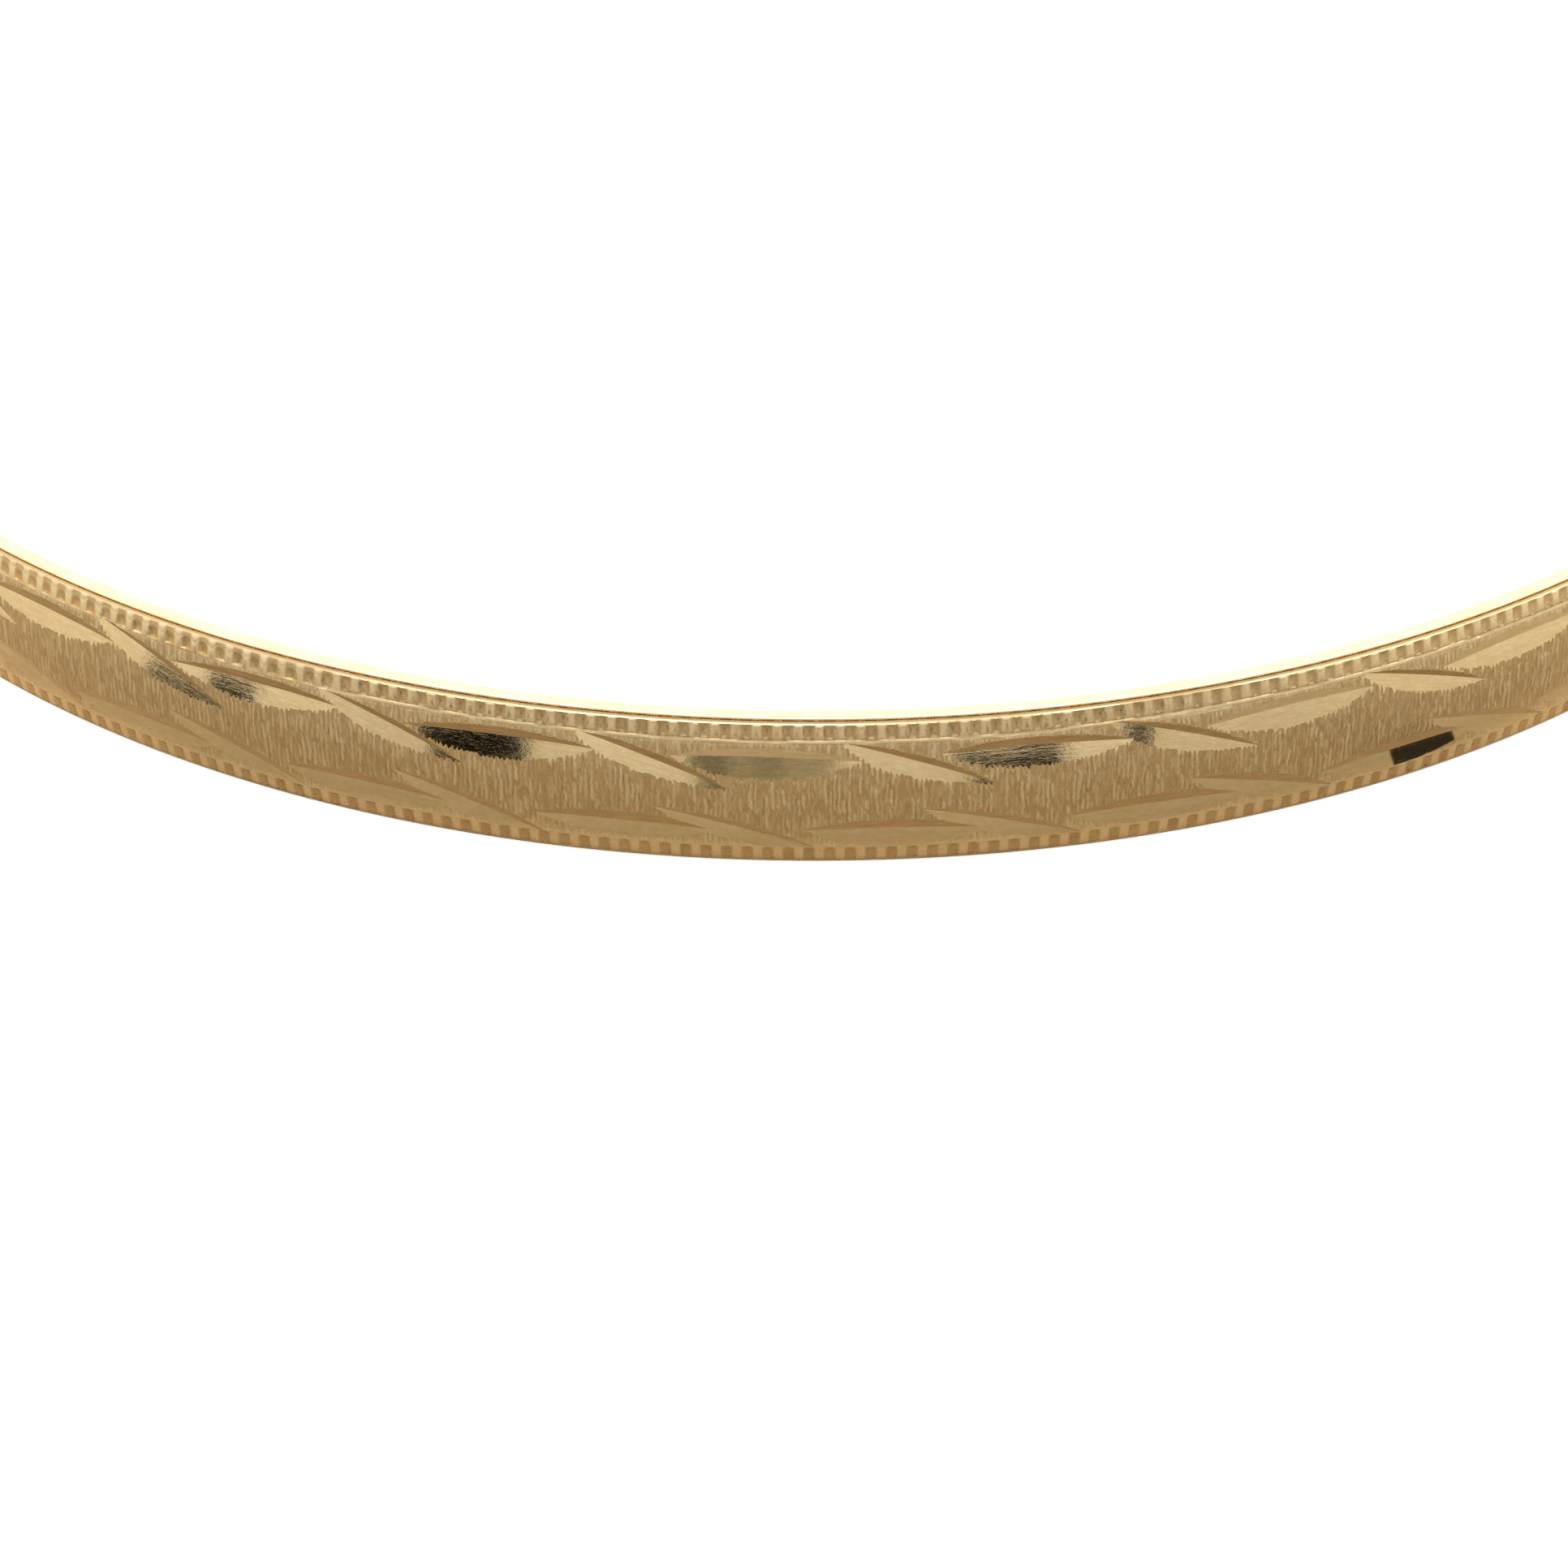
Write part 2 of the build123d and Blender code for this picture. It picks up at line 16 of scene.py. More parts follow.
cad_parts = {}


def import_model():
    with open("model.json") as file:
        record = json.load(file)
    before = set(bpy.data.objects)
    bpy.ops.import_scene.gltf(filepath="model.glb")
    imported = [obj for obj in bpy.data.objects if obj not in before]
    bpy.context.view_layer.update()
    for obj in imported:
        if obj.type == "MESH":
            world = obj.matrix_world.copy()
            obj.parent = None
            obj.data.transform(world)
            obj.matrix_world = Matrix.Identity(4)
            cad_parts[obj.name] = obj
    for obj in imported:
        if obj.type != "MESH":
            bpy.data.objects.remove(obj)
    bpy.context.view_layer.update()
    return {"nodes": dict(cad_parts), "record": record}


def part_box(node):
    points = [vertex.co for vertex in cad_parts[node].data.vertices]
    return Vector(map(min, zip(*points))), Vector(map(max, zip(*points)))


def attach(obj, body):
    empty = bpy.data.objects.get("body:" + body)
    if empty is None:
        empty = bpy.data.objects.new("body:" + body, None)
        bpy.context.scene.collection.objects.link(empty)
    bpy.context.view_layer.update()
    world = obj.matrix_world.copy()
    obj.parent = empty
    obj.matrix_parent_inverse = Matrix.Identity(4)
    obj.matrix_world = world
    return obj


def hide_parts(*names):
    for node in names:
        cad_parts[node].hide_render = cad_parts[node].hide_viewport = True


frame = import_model()

MM = 0.001

# The band's section, as in the CAD, except that the rim reaches 0.04 mm further out
EDGE_RADIUS = 31.6
BAND_WIDTH = 4.25
MID = BAND_WIDTH / 2
RIM_OUTER = 31.50
RIM_INNER = 31.14
RIM_STEP = 0.05
OUTER_DOME = 0.26
SHELL_INNER = EDGE_RADIUS - 0.33
LINER_THICKNESS = 0.25
BEVEL_ANGLE = math.radians(47)
CREST_RADIUS = 1.5
SHELL_HALF = MID - RIM_STEP
DOME_RADIUS = (SHELL_HALF**2 + OUTER_DOME**2) / (2 * OUTER_DOME)
CREST_CENTRE = RIM_INNER - MID / math.tan(BEVEL_ANGLE) + CREST_RADIUS / math.sin(BEVEL_ANGLE)
END_DEPTH = 0.48  # thickness of an end plate, with its share of the joint's gap
JOINT_SHARE = 0.03

# Order of the engraved shells' materials
ON_FIELD, ON_LEVEL_LEAF, ON_LEANING_LEAF, ON_BEADS, ON_SHADED_WALL = range(5)
FIELD_HALF = 1.47  # the matted field's half height
WALL_FACES_DOWN = -0.12  # a cut face whose normal points further down than this is a wall
LAST_LEAF_END = 87.3  # degrees from the middle of a half; no leaf reaches past it

# The hinge
AXIS_X = 31.95
BARREL = 0.8
PIN = 0.35
EASE = 0.03

BEADS_PER_HALF = 195
BEAD_PITCH = 180 / BEADS_PER_HALF  # degrees
COLUMNS = 193 * 8  # across one half ring

PITCH = 12.0  # degrees from one group of leaves to the next
LEAVES = {
    # angle and tilt in degrees; valley above mid-height, length, facet width and wall width in mm
    # (angle, valley, length, tilt, facet width, wall width)
    "upper_leaning": (4.45, 0.95, 4.15, -18.6, 0.50, 0.20),
    "upper_level": (9.65, 1.11, 4.85, 0.0, 0.58, 0.30),
    "lower_leaning": (8.25, -0.97, 4.25, -17.5, 0.44, 0.26),
    "lower_level": (3.35, -1.05, 4.95, 0.0, 0.49, 0.33),
}


# ---------------------------------------------------------------- mesh helpers
def to_mesh(name, vertices, faces, smooth=True):
    """A new object from millimetre vertices."""
    mesh = bpy.data.meshes.new(name)
    mesh.from_pydata((np.asarray(vertices) * MM).tolist(), [], faces)
    mesh.polygons.foreach_set("use_smooth", np.full(len(mesh.polygons), smooth))
    mesh.update()
    obj = bpy.data.objects.new(name, mesh)
    bpy.context.scene.collection.objects.link(obj)
    return obj


def half_turn(points, side):
    """Points with their middle on -Y, turned round Z onto the back half where side is 1."""
    points = np.asarray(points, float)
    if side > 0:
        points = points * np.array([-1, -1, 1])
    return points


def lathe(name, radius, height, side, jitter=None, end_depth=END_DEPTH):
    """A closed half ring from arrays of radius and height, each (section points, columns).

    The half ring ends on planes parallel to XZ, as the end plates do.
    """
    rows, columns = radius.shape
    reach = np.arccos(end_depth / radius)
    turn = np.linspace(-1, 1, columns)[None, :] * reach
    if jitter is not None:
        turn = turn + jitter
    x = radius * np.sin(turn)
    y = -radius * np.cos(turn)
    y[:, 0] = -end_depth
    y[:, -1] = -end_depth
    points = half_turn(np.stack([x, y, height], -1).reshape(-1, 3), side)
    faces = []
    index = np.arange(rows * columns).reshape(rows, columns)
    for row in range(rows):
        a, b = index[row], index[(row + 1) % rows]
        quads = np.stack([a[:-1], a[1:], b[1:], b[:-1]], -1)
        faces.extend(quads.tolist())
    faces.append(index[:, 0].tolist())
    faces.append(index[::-1, -1].tolist())
    return to_mesh(name, points, faces)


def smooth_noise(rng, size, period):
    """Smooth random numbers between -1 and 1 along a line of `size` samples."""
    knots = rng.uniform(-1, 1, int(size / period) + 3)
    at = np.arange(size) / period
    low = at.astype(int)
    part = at - low
    part = part * part * (3 - 2 * part)
    return knots[low] * (1 - part) + knots[low + 1] * part


def dome(h):
    """Radius of the engraved face at a height above mid-height."""
    return EDGE_RADIUS + OUTER_DOME - DOME_RADIUS + np.sqrt(DOME_RADIUS**2 - h**2)


# ---------------------------------------------------------------- engraved shell
def matting_strokes(rng, levels, n):
    """How far each point of the field stands up: short strokes on every other column."""
    raised = rng.uniform(-0.12, 0.12, (levels, n))
    for column in range(0, n, 2):
        if rng.random() < 0.12:
            continue
        level = int(rng.integers(-4, 1))
        while level < levels:
            length = int(rng.integers(2, 9))
            strength = rng.uniform(0.3, 1.25)
            raised[max(level, 0):max(level + length, 0), column] = strength
            level += length + int(rng.integers(1, 3))
    return raised


def shell(name, side, seed):
    """The engraved shell before its leaves are cut: beads, grooves and matting strokes."""
    rng = np.random.default_rng(seed)
    n = COLUMNS + 1
    column = np.arange(n)
    degrees = np.degrees(np.linspace(-1, 1, n) * math.acos(END_DEPTH / EDGE_RADIUS))
    turns = degrees / BEAD_PITCH + 0.5 + BEADS_PER_HALF
    across_bead = np.abs(2 * (turns % 1.0) - 1)  # 1 between beads and 0 at a bead's middle
    bead_shape = np.clip((0.78 - across_bead) / 0.5, 0, 1)
    bead_shape = bead_shape * bead_shape * (3 - 2 * bead_shape)
    bead_height = rng.uniform(0.75, 1.15, 2 * BEADS_PER_HALF + 4)[turns.astype(int)]
    bead_lift = rng.uniform(-0.018, 0.018, 2 * BEADS_PER_HALF + 4)[turns.astype(int)]
    wander = smooth_noise(rng, n, 70) * 0.02
    upper_wander = wander.copy()
    if side < 0:
        step = np.clip((-degrees - 21.5) / 3.5, 0, 1)
        upper_wander = wander - 0.16 * step * step * (3 - 2 * step)
    field = np.linspace(1.46, -1.42, 21)
    strokes = matting_strokes(rng, len(field), n)

    rows = []

    def row(r, h, jitter=None):
        rows.append((np.broadcast_to(r, n).astype(float), np.broadcast_to(h, n).astype(float), jitter))

    def beads(top, bottom, relief_depth, wander):
        """Six rows of a bead band, from its top edge to its bottom edge."""
        for part, profile in ((0.0, 0.0), (0.13, 0.72), (0.36, 1.0), (0.64, 1.0), (0.87, 0.72), (1.0, 0.0)):
            h = top + (bottom - top) * part + wander + bead_lift * profile
            dent = rng.uniform(-0.002, 0.002, n)
            raised = relief_depth * (bead_shape * bead_height - 1.0)
            relief = -0.3 * relief_depth * (1 - profile) + profile * (raised + dent)
            row(dome(h) + relief, h)

    # Outer face, from the top edge down
    row(SHELL_INNER, SHELL_HALF - 0.09)
    row(RIM_OUTER - 0.01, SHELL_HALF - 0.095)
    row(RIM_OUTER + 0.03, SHELL_HALF - 0.09)
    row(RIM_OUTER + 0.036, SHELL_HALF - 0.012)
    row(RIM_OUTER + 0.05, SHELL_HALF - 0.010)
    row(RIM_OUTER + 0.06, SHELL_HALF - 0.055)
    row(dome(2.01) - 0.036, 2.002)
    beads(2.0, 1.63, 0.05, upper_wander)
    ridge = smooth_noise(rng, n, 6) * 0.008
    row(dome(1.60) - 0.036, 1.607 + 0.5 * upper_wander + ridge)
    lip = np.minimum(-0.022 + smooth_noise(rng, n, 9) * 0.022 + smooth_noise(rng, n, 3) * 0.006, -0.002)
    row(dome(1.57) + lip, 1.576 + 0.5 * wander + ridge)
    row(dome(1.53) - 0.009, 1.53 + wander)
    drift = np.zeros(n)
    for level, h in enumerate(field):
        drift = 0.8 * drift + smooth_noise(rng, n, 5) * 0.026 + rng.uniform(-0.006, 0.006, n)
        fade = np.clip((1.50 - h) / 0.10, 0.4, 1.0) if h > 0 else np.clip((h + 1.32) / 0.15, 0.12, 1.0)
        height = h + rng.uniform(-0.035, 0.035, n) * (0.0 if level in (0, len(field) - 1) else 1.0)
        row(dome(height) + (strokes[level] * 0.019 - 0.009) * fade, height, drift / EDGE_RADIUS)
    row(dome(1.50) + 0.004, -1.50 + wander)
    row(dome(1.545) - 0.006, -1.545 + wander)
    beads(-1.58, -1.94, 0.06, wander)
    row(dome(1.975) - 0.034, -1.975)
    row(dome(2.03) - 0.048, -2.035)
    row(EDGE_RADIUS - 0.075, -SHELL_HALF)
    row(SHELL_INNER, -SHELL_HALF)
    # Cavity side, plain
    for h in (-SHELL_HALF + 0.35, -0.9, 0.0, 0.9, SHELL_HALF - 0.35):
        row(SHELL_INNER + OUTER_DOME * (1 - (h / (SHELL_HALF - 0.35)) ** 2), h)

    radius = np.stack([r for r, _, _ in rows])
    height = np.stack([h for _, h, _ in rows]) + MID
    jitter = np.zeros_like(radius)
    for i, (_, _, wiggle) in enumerate(rows):
        if wiggle is not None:
            jitter[i, 1:-1] = wiggle[1:-1]
    return lathe(name, radius, height, side, jitter)


def leaf_prism(rng, angle, rise, length, tilt, facet_width, wall_width, side):
    """Vertices and faces of one V cutter. Its valley is a slightly bowed line across the face."""
    angle += rng.uniform(-0.12, 0.12)
    rise += rng.uniform(-0.035, 0.035)
    length *= rng.uniform(0.96, 1.04)
    tilt += rng.uniform(-1.3, 1.3)
    facet_width *= rng.uniform(0.9, 1.08)
    wall_width *= rng.uniform(0.85, 1.15)
    turn = math.radians(tilt)
    face_radius = dome(rise)
    curve_along = math.cos(turn) ** 2 / face_radius + math.sin(turn) ** 2 / DOME_RADIUS
    curve_across = math.sin(turn) ** 2 / face_radius + math.cos(turn) ** 2 / DOME_RADIUS
    give = 0.16  # how much of the face's curve the tool follows
    depth = (1 - give) * curve_along * length**2 / 8
    facet_slope, wall_slope = [(depth - curve_across * w**2 / 2) / w for w in (facet_width, wall_width)]
    azimuth = math.radians(angle)
    radial = Vector((math.sin(azimuth), -math.cos(azimuth), 0))
    tangent = Vector((math.cos(azimuth), math.sin(azimuth), 0))
    lean = math.asin(rise / DOME_RADIUS)
    outward = radial * math.cos(lean) + Vector((0, 0, math.sin(lean)))
    up = -radial * math.sin(lean) + Vector((0, 0, math.cos(lean)))
    along = tangent * math.cos(turn) + up * math.sin(turn)
    across = -tangent * math.sin(turn) + up * math.cos(turn)
    middle = radial * face_radius + Vector((0, 0, MID + rise)) - outward * depth
    stand = 0.5
    stations = 15
    vertices = []
    bow = length * 0.012
    chatter = 0.0
    for i in range(stations):
        t = (i / (stations - 1) - 0.5) * (length + 0.9)
        fall = give * curve_along * t * t / 2
        chatter = 0.5 * chatter + rng.uniform(-0.004, 0.004)
        swell = bow * (1 - (2 * t / length) ** 2)
        foot = middle + along * t - outward * (fall + chatter * 0.3) + across * swell
        slope = facet_slope * (1 + 0.035 * rng.uniform(-1, 1))
        vertices.append(foot)
        vertices.append(foot + outward * stand - across * (stand / slope))
        vertices.append(foot + outward * stand + across * (stand / wall_slope))
    faces = []
    for i in range(stations - 1):
        a, b = 3 * i, 3 * i + 3
        faces += [[a, b, b + 1, a + 1], [a + 1, b + 1, b + 2, a + 2], [a + 2, b + 2, b, a]]
    last = 3 * (stations - 1)
    faces += [[0, 1, 2], [last + 2, last + 1, last]]
    return half_turn([tuple(v) for v in vertices], side), faces


def leaf_cutter(name, side, kinds, slot_index, seed):
    """One object that holds the cutters of the named kinds of leaf. None of them overlap."""
    rng = np.random.default_rng(seed)
    vertices, faces = [], []
    for repeat in range(-9, 9):
        for kind in kinds:
            angle, *shape = LEAVES[kind]
            angle += repeat * PITCH
            if abs(angle) + math.degrees(shape[1] / 2 / EDGE_RADIUS) > LAST_LEAF_END:
                continue
            points, sides = leaf_prism(rng, angle, *shape, side)
            faces += [[i + len(vertices) for i in face] for face in sides]
            vertices += points.tolist()
    obj = to_mesh(name, vertices, faces)
    obj.data.polygons.foreach_set("material_index", np.full(len(faces), slot_index, np.int32))
    return obj


def box_cutter(name, low, high):
    """A plain box, only for cutting."""
    corners = [(x, y, z) for x in (low[0], high[0]) for y in (low[1], high[1]) for z in (low[2], high[2])]
    faces = [[0, 1, 3, 2], [4, 6, 7, 5], [0, 4, 5, 1], [2, 3, 7, 6], [0, 2, 6, 4], [1, 5, 7, 3]]
    return to_mesh(name, corners, faces, smooth=False)


def round_cutter(name, centre, radius, low, high, sides=96):
    """A plain upright cylinder, only for cutting."""
    angles = np.linspace(0, 2 * math.pi, sides, endpoint=False)
    ring = np.stack([centre[0] + radius * np.cos(angles), centre[1] + radius * np.sin(angles)], -1)
    vertices = [(x, y, low) for x, y in ring] + [(x, y, high) for x, y in ring]
    faces = [[i, (i + 1) % sides, sides + (i + 1) % sides, sides + i] for i in range(sides)]
    faces += [list(range(sides))[::-1], list(range(sides, 2 * sides))]
    return to_mesh(name, vertices, faces)


def carve(obj, cutters, operation="DIFFERENCE"):
    """Subtract closed objects one after another, or unite them, and drop them."""
    for cutter in cutters:
        modifier = obj.modifiers.new("cut", "BOOLEAN")
        modifier.operation = operation
        modifier.solver = "MANIFOLD"
        modifier.object = cutter
        for material in obj.data.materials:
            if len(cutter.data.materials) < len(obj.data.materials):
                cutter.data.materials.append(material)
    graph = bpy.context.evaluated_depsgraph_get()
    mesh = bpy.data.meshes.new_from_object(obj.evaluated_get(graph))
    obj.modifiers.clear()
    old = obj.data
    obj.data = mesh
    bpy.data.meshes.remove(old)
    for cutter in cutters:
        mesh = cutter.data
        bpy.data.objects.remove(cutter)
        bpy.data.meshes.remove(mesh)
    return obj


def outward_check(obj):
    """Turn the faces of a closed mesh outward."""
    work = bmesh.new()
    work.from_mesh(obj.data)
    bmesh.ops.recalc_face_normals(work, faces=work.faces)
    work.to_mesh(obj.data)
    work.free()


def hinge_cutters(side, tab=True):
    """What the hinge and the clasp take out of one half, sized from their CAD nodes."""
    scale = 1 / MM
    cutters = []
    own, other = ["lower_hinge_knuckle", "upper_hinge_knuckle"], ["centre_hinge_knuckle"]
    if side > 0:
        own, other = other, own
    for knuckle in own:
        low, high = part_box(knuckle)
        y = sorted((0, side * 1.0))
        near, far = (31.15, y[0], low.z * scale), (33.0, y[1], high.z * scale)
        cutters.append(box_cutter(f"pocket_{knuckle}", near, far))
    for knuckle in other:
        low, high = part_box(knuckle)
        bottom, top = low.z * scale - 0.03, high.z * scale + 0.03
        if "lower" in knuckle:
            bottom = -0.5
        if "upper" in knuckle:
            top = BAND_WIDTH + 0.5
        cutters.append(round_cutter(f"relief_{knuckle}", (AXIS_X, 0), 0.87, bottom, top))
    if side < 0:
        cutters.append(round_cutter("relief_low_head", (AXIS_X, 0), 0.57, -0.5, 0.2))
        low, high = BAND_WIDTH - 0.2, BAND_WIDTH + 0.5
        cutters.append(round_cutter("relief_high_head", (AXIS_X, 0), 0.57, low, high))
    elif tab:
        cutters.append(box_cutter("tab_notch", (-33.0, -0.2, MID - 0.55), (-30.58, 0.95, MID + 0.55)))
    return cutters


# ---------------------------------------------------------------- liner
def liner_rows():
    """The liner's section as (radius, height above mid-height), with eased edges on its rims."""
    sin, cos, tan = math.sin(BEVEL_ANGLE), math.cos(BEVEL_ANGLE), math.tan(BEVEL_ANGLE)
    ease = 0.034
    points = []
    points += [(RIM_OUTER, MID - RIM_STEP), (RIM_OUTER, MID - ease)]
    points += [(RIM_OUTER - ease * 0.3, MID - ease * 0.3), (RIM_OUTER - ease, MID), (RIM_OUTER - 0.05, MID)]
    points += [(RIM_INNER + 0.05, MID), (RIM_INNER + ease, MID)]
    points += [(RIM_INNER + ease * 0.25, MID - ease * 0.15), (RIM_INNER - ease * 0.7, MID - ease * 0.75)]
    tangent = (CREST_CENTRE - CREST_RADIUS * sin, CREST_RADIUS * cos)
    points += [(RIM_INNER - 0.05, MID - 0.05 * tan), (tangent[0] + 0.03, tangent[1] + 0.03 * tan)]
    start = math.pi / 2 - BEVEL_ANGLE
    for i in range(13):
        a = start * (1 - 2 * i / 12)
        points.append((CREST_CENTRE - CREST_RADIUS * math.cos(a), CREST_RADIUS * math.sin(a)))
    points += [(r, -h) for r, h in reversed(points[:11])]
    inner = CREST_RADIUS - LINER_THICKNESS
    cavity = (CREST_CENTRE - inner * sin, inner * cos)
    lip = (SHELL_INNER, cavity[1] + (SHELL_INNER - cavity[0]) * tan)
    lip = (SHELL_INNER, min(lip[1], MID - RIM_STEP - 0.02))
    points += [(SHELL_INNER, -(MID - RIM_STEP)), (lip[0], -lip[1]), (cavity[0], -cavity[1])]
    points += [(CREST_CENTRE - inner, 0.0), cavity, lip, (SHELL_INNER, MID - RIM_STEP)]
    return points


def liner(name, side):
    """The smooth inner half ring, with both rims."""
    points = np.array(liner_rows())
    columns = 721
    radius = np.repeat(points[:, :1], columns, 1)
    height = np.repeat(points[:, 1:], columns, 1) + MID
    return lathe(name, radius, height, side)


# ---------------------------------------------------------------- hinge, clasp and catch
BLADE_INNER, SHEET, FOLD_OUTER = 30.38, 0.2, 30.9
TONGUE_DEPTH, FOLD_LENGTH, TONGUE_WIDTH = 4.3, 0.4, 1.6
LEAF_END, SHOULDER = 31.1, 31.34
CATCH_X = -31.0
CATCH_REACH = 1.9
CATCH_WIRE = 0.16


def turned(name, profile, centre, up=(0, 0, 1), sides=72):
    """A closed piece turned about an axis. The profile is (radius, distance along the axis) points."""
    up = Vector(up)
    first = Vector((1, 0, 0)) if abs(up.x) < 0.5 else Vector((0, 1, 0))
    second = up.cross(first)
    vertices, faces = [], []
    solid = profile[0][0] == 0
    rings = [p for p in profile if p[0] > 0]
    for r, along in rings:
        for i in range(sides):
            a = 2 * math.pi * i / sides
            v = Vector(centre) + first * r * math.cos(a) + second * r * math.sin(a) + up * along
            vertices.append(tuple(v))
    spans = len(rings) - (1 if solid else 0)
    for row in range(spans):
        a, b = row * sides, ((row + 1) % len(rings)) * sides
        for i in range(sides):
            j = (i + 1) % sides
            faces.append([a + i, a + j, b + j, b + i])
    if solid:
        faces.append(list(range(sides)))
        faces.append(list(range((len(rings) - 1) * sides, len(rings) * sides)))
    obj = to_mesh(name, vertices, faces)
    outward_check(obj)
    return obj


def eased(low, high, ease, radius):
    """Profile points up the outside of a turned piece, with rounded corners."""
    turn = [math.radians(a) for a in (0, 30, 60, 90)]
    bottom = [(radius - ease * (1 - math.sin(t)), low + ease * (1 - math.cos(t))) for t in turn]
    return bottom + [(r, high - (z - low)) for r, z in reversed(bottom)]


def offset_outline(points, distance):
    """A closed outline moved inward by a small distance. Its points run anticlockwise."""
    moved = []
    for i, point in enumerate(points):
        before, after = points[i - 1], points[(i + 1) % len(points)]
        a = (Vector(point) - Vector(before)).normalized()
        b = (Vector(after) - Vector(point)).normalized()
        normal = Vector((-a.y, a.x)) + Vector((-b.y, b.x))
        scale = distance / max(0.35, normal.length_squared / 2)
        moved.append(tuple(Vector(point) + normal * scale))
    return moved


def rounded_outline(points, radius, steps=4):
    """A closed outline with its corners rounded. A radius may be one number, or one per corner."""
    result = []
    for i, point in enumerate(points):
        r = radius[i] if isinstance(radius, (list, tuple)) else radius
        point = Vector(point)
        back, on = Vector(points[i - 1]) - point, Vector(points[(i + 1) % len(points)]) - point
        if r == 0:
            result.append(tuple(point))
            continue
        half = back.angle(on) / 2
        cut = min(r / math.tan(half), 0.49 * back.length, 0.49 * on.length)
        start, end = point + back.normalized() * cut, point + on.normalized() * cut
        for step in range(steps + 1):
            t = step / steps
            result.append(tuple(start * (1 - t) ** 2 + point * 2 * t * (1 - t) + end * t * t))
    return result


def prism(name, outline, low, high, place, ease=EASE):
    """An extruded outline with eased edges at both ends. place(u, v, w) gives the point in space."""
    area = sum(a[0] * b[1] - b[0] * a[1] for a, b in zip(outline, outline[1:] + outline[:1]))
    if area < 0:
        outline = outline[::-1]
    layers = []
    for turn in (0, 45, 90):
        t = math.radians(turn)
        layers.append((offset_outline(outline, ease * (1 - math.sin(t))), low + ease * (1 - math.cos(t))))
    layers += [(ring, high - (w - low)) for ring, w in reversed(layers)]
    vertices = [place(u, v, w) for ring, w in layers for u, v in ring]
    n = len(outline)
    faces = []
    for layer in range(len(layers) - 1):
        for i in range(n):
            j = (i + 1) % n
            faces.append([layer * n + i, layer * n + j, (layer + 1) * n + j, (layer + 1) * n + i])
    faces += [list(range(n)), list(range((len(layers) - 1) * n, len(layers) * n))]
    obj = to_mesh(name, vertices, faces)
    outward_check(obj)
    return obj


def join_solid(obj, others):
    """Union closed pieces into one."""
    return carve(obj, others, "UNION")


def ease_edges(obj, width=0.03):
    """Weld a mesh and round its edges a little."""
    work = bmesh.new()
    work.from_mesh(obj.data)
    bmesh.ops.remove_doubles(work, verts=work.verts, dist=0.001 * MM)
    bmesh.ops.dissolve_limit(work, angle_limit=math.radians(1), verts=work.verts, edges=work.edges)
    sharp = [e for e in work.edges if len(e.link_faces) == 2 and e.calc_face_angle(0) > math.radians(40)]
    size = dict(offset=width * MM, segments=3, profile=0.5)
    bmesh.ops.bevel(work, geom=sharp, affect="EDGES", clamp_overlap=True, **size)
    work.to_mesh(obj.data)
    work.free()
    return obj


def crisp(obj, degrees=32):
    """Shade smoothly, except across real edges."""
    work = bmesh.new()
    work.from_mesh(obj.data)
    for face in work.faces:
        face.smooth = True
    for edge in work.edges:
        if len(edge.link_faces) == 2 and edge.calc_face_angle(0) > math.radians(degrees):
            edge.smooth = False
    work.to_mesh(obj.data)
    work.free()


def band_outline():
    """The whole band's outline in section, as (radius, height above mid-height)."""
    points = []
    for i in range(25):
        h = -SHELL_HALF + 2 * SHELL_HALF * i / 24
        points.append((float(dome(h)) - 0.006, h))
    inner = liner_rows()[3:31]
    return points + inner


def end_plate(name, side, clasp):
    """The plate that closes one end of a half ring, with its joint face's edges eased."""
    outline = band_outline()
    near, far = JOINT_SHARE, END_DEPTH
    depths = [(near, 0.02), (near + 0.006, 0.006), (near + 0.02, 0.0), ((near + far) / 2, 0.0), (far, 0.0)]
    vertices, faces = [], []
    n = len(outline)
    for depth, inset in depths:
        for r, h in offset_outline(outline, inset) if inset else outline:
            x = math.sqrt(r * r - depth * depth) * (-1 if clasp else 1)
            vertices.append((x, side * depth, MID + h))
    for row in range(len(depths) - 1):
        for i in range(n):
            j = (i + 1) % n
            faces.append([row * n + i, row * n + j, (row + 1) * n + j, (row + 1) * n + i])
    faces += [list(range(n)), list(range((len(depths) - 1) * n, len(depths) * n))]
    obj = to_mesh(name, vertices, faces)
    outward_check(obj)
    if not clasp:
        carve(obj, hinge_cutters(side, tab=False))
    elif side < 0:
        carve(obj, [box_cutter("mouth", (-31.14, -1, MID - 0.9), (-30.34, 0.2, MID + 0.9))])
    else:
        slot = box_cutter("blade_slot", (-30.60, -0.2, MID - 0.8), (-30.38, 1, MID + 0.8))
        carve(obj, [box_cutter("tab_notch", (-33.0, -0.2, MID - 0.55), (-30.58, 0.95, MID + 0.55)), slot])
    return obj


def knuckle(name, node, side, bore):
    """A hinge knuckle: a barrel with eased ends, a foot let into its own half, and a bore for the pin."""
    low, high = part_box(node)
    low, high = low.z / MM, high.z / MM
    barrel = turned(name, [(0, low)] + eased(low, high, 0.05, BARREL) + [(0, high)], (AXIS_X, 0, 0), sides=96)
    near, far = AXIS_X - BARREL, AXIS_X - 0.1
    foot = [(near, 0.0), (far, 0.0), (far, side * 1.0), (near, side * 1.0)]
    block = prism("foot", foot, low, high, lambda u, v, w: (u, v, w), 0.02)
    join_solid(barrel, [block])
    carve(barrel, [round_cutter("bore", (AXIS_X, 0), bore, low - 1, high + 1)])
    return barrel


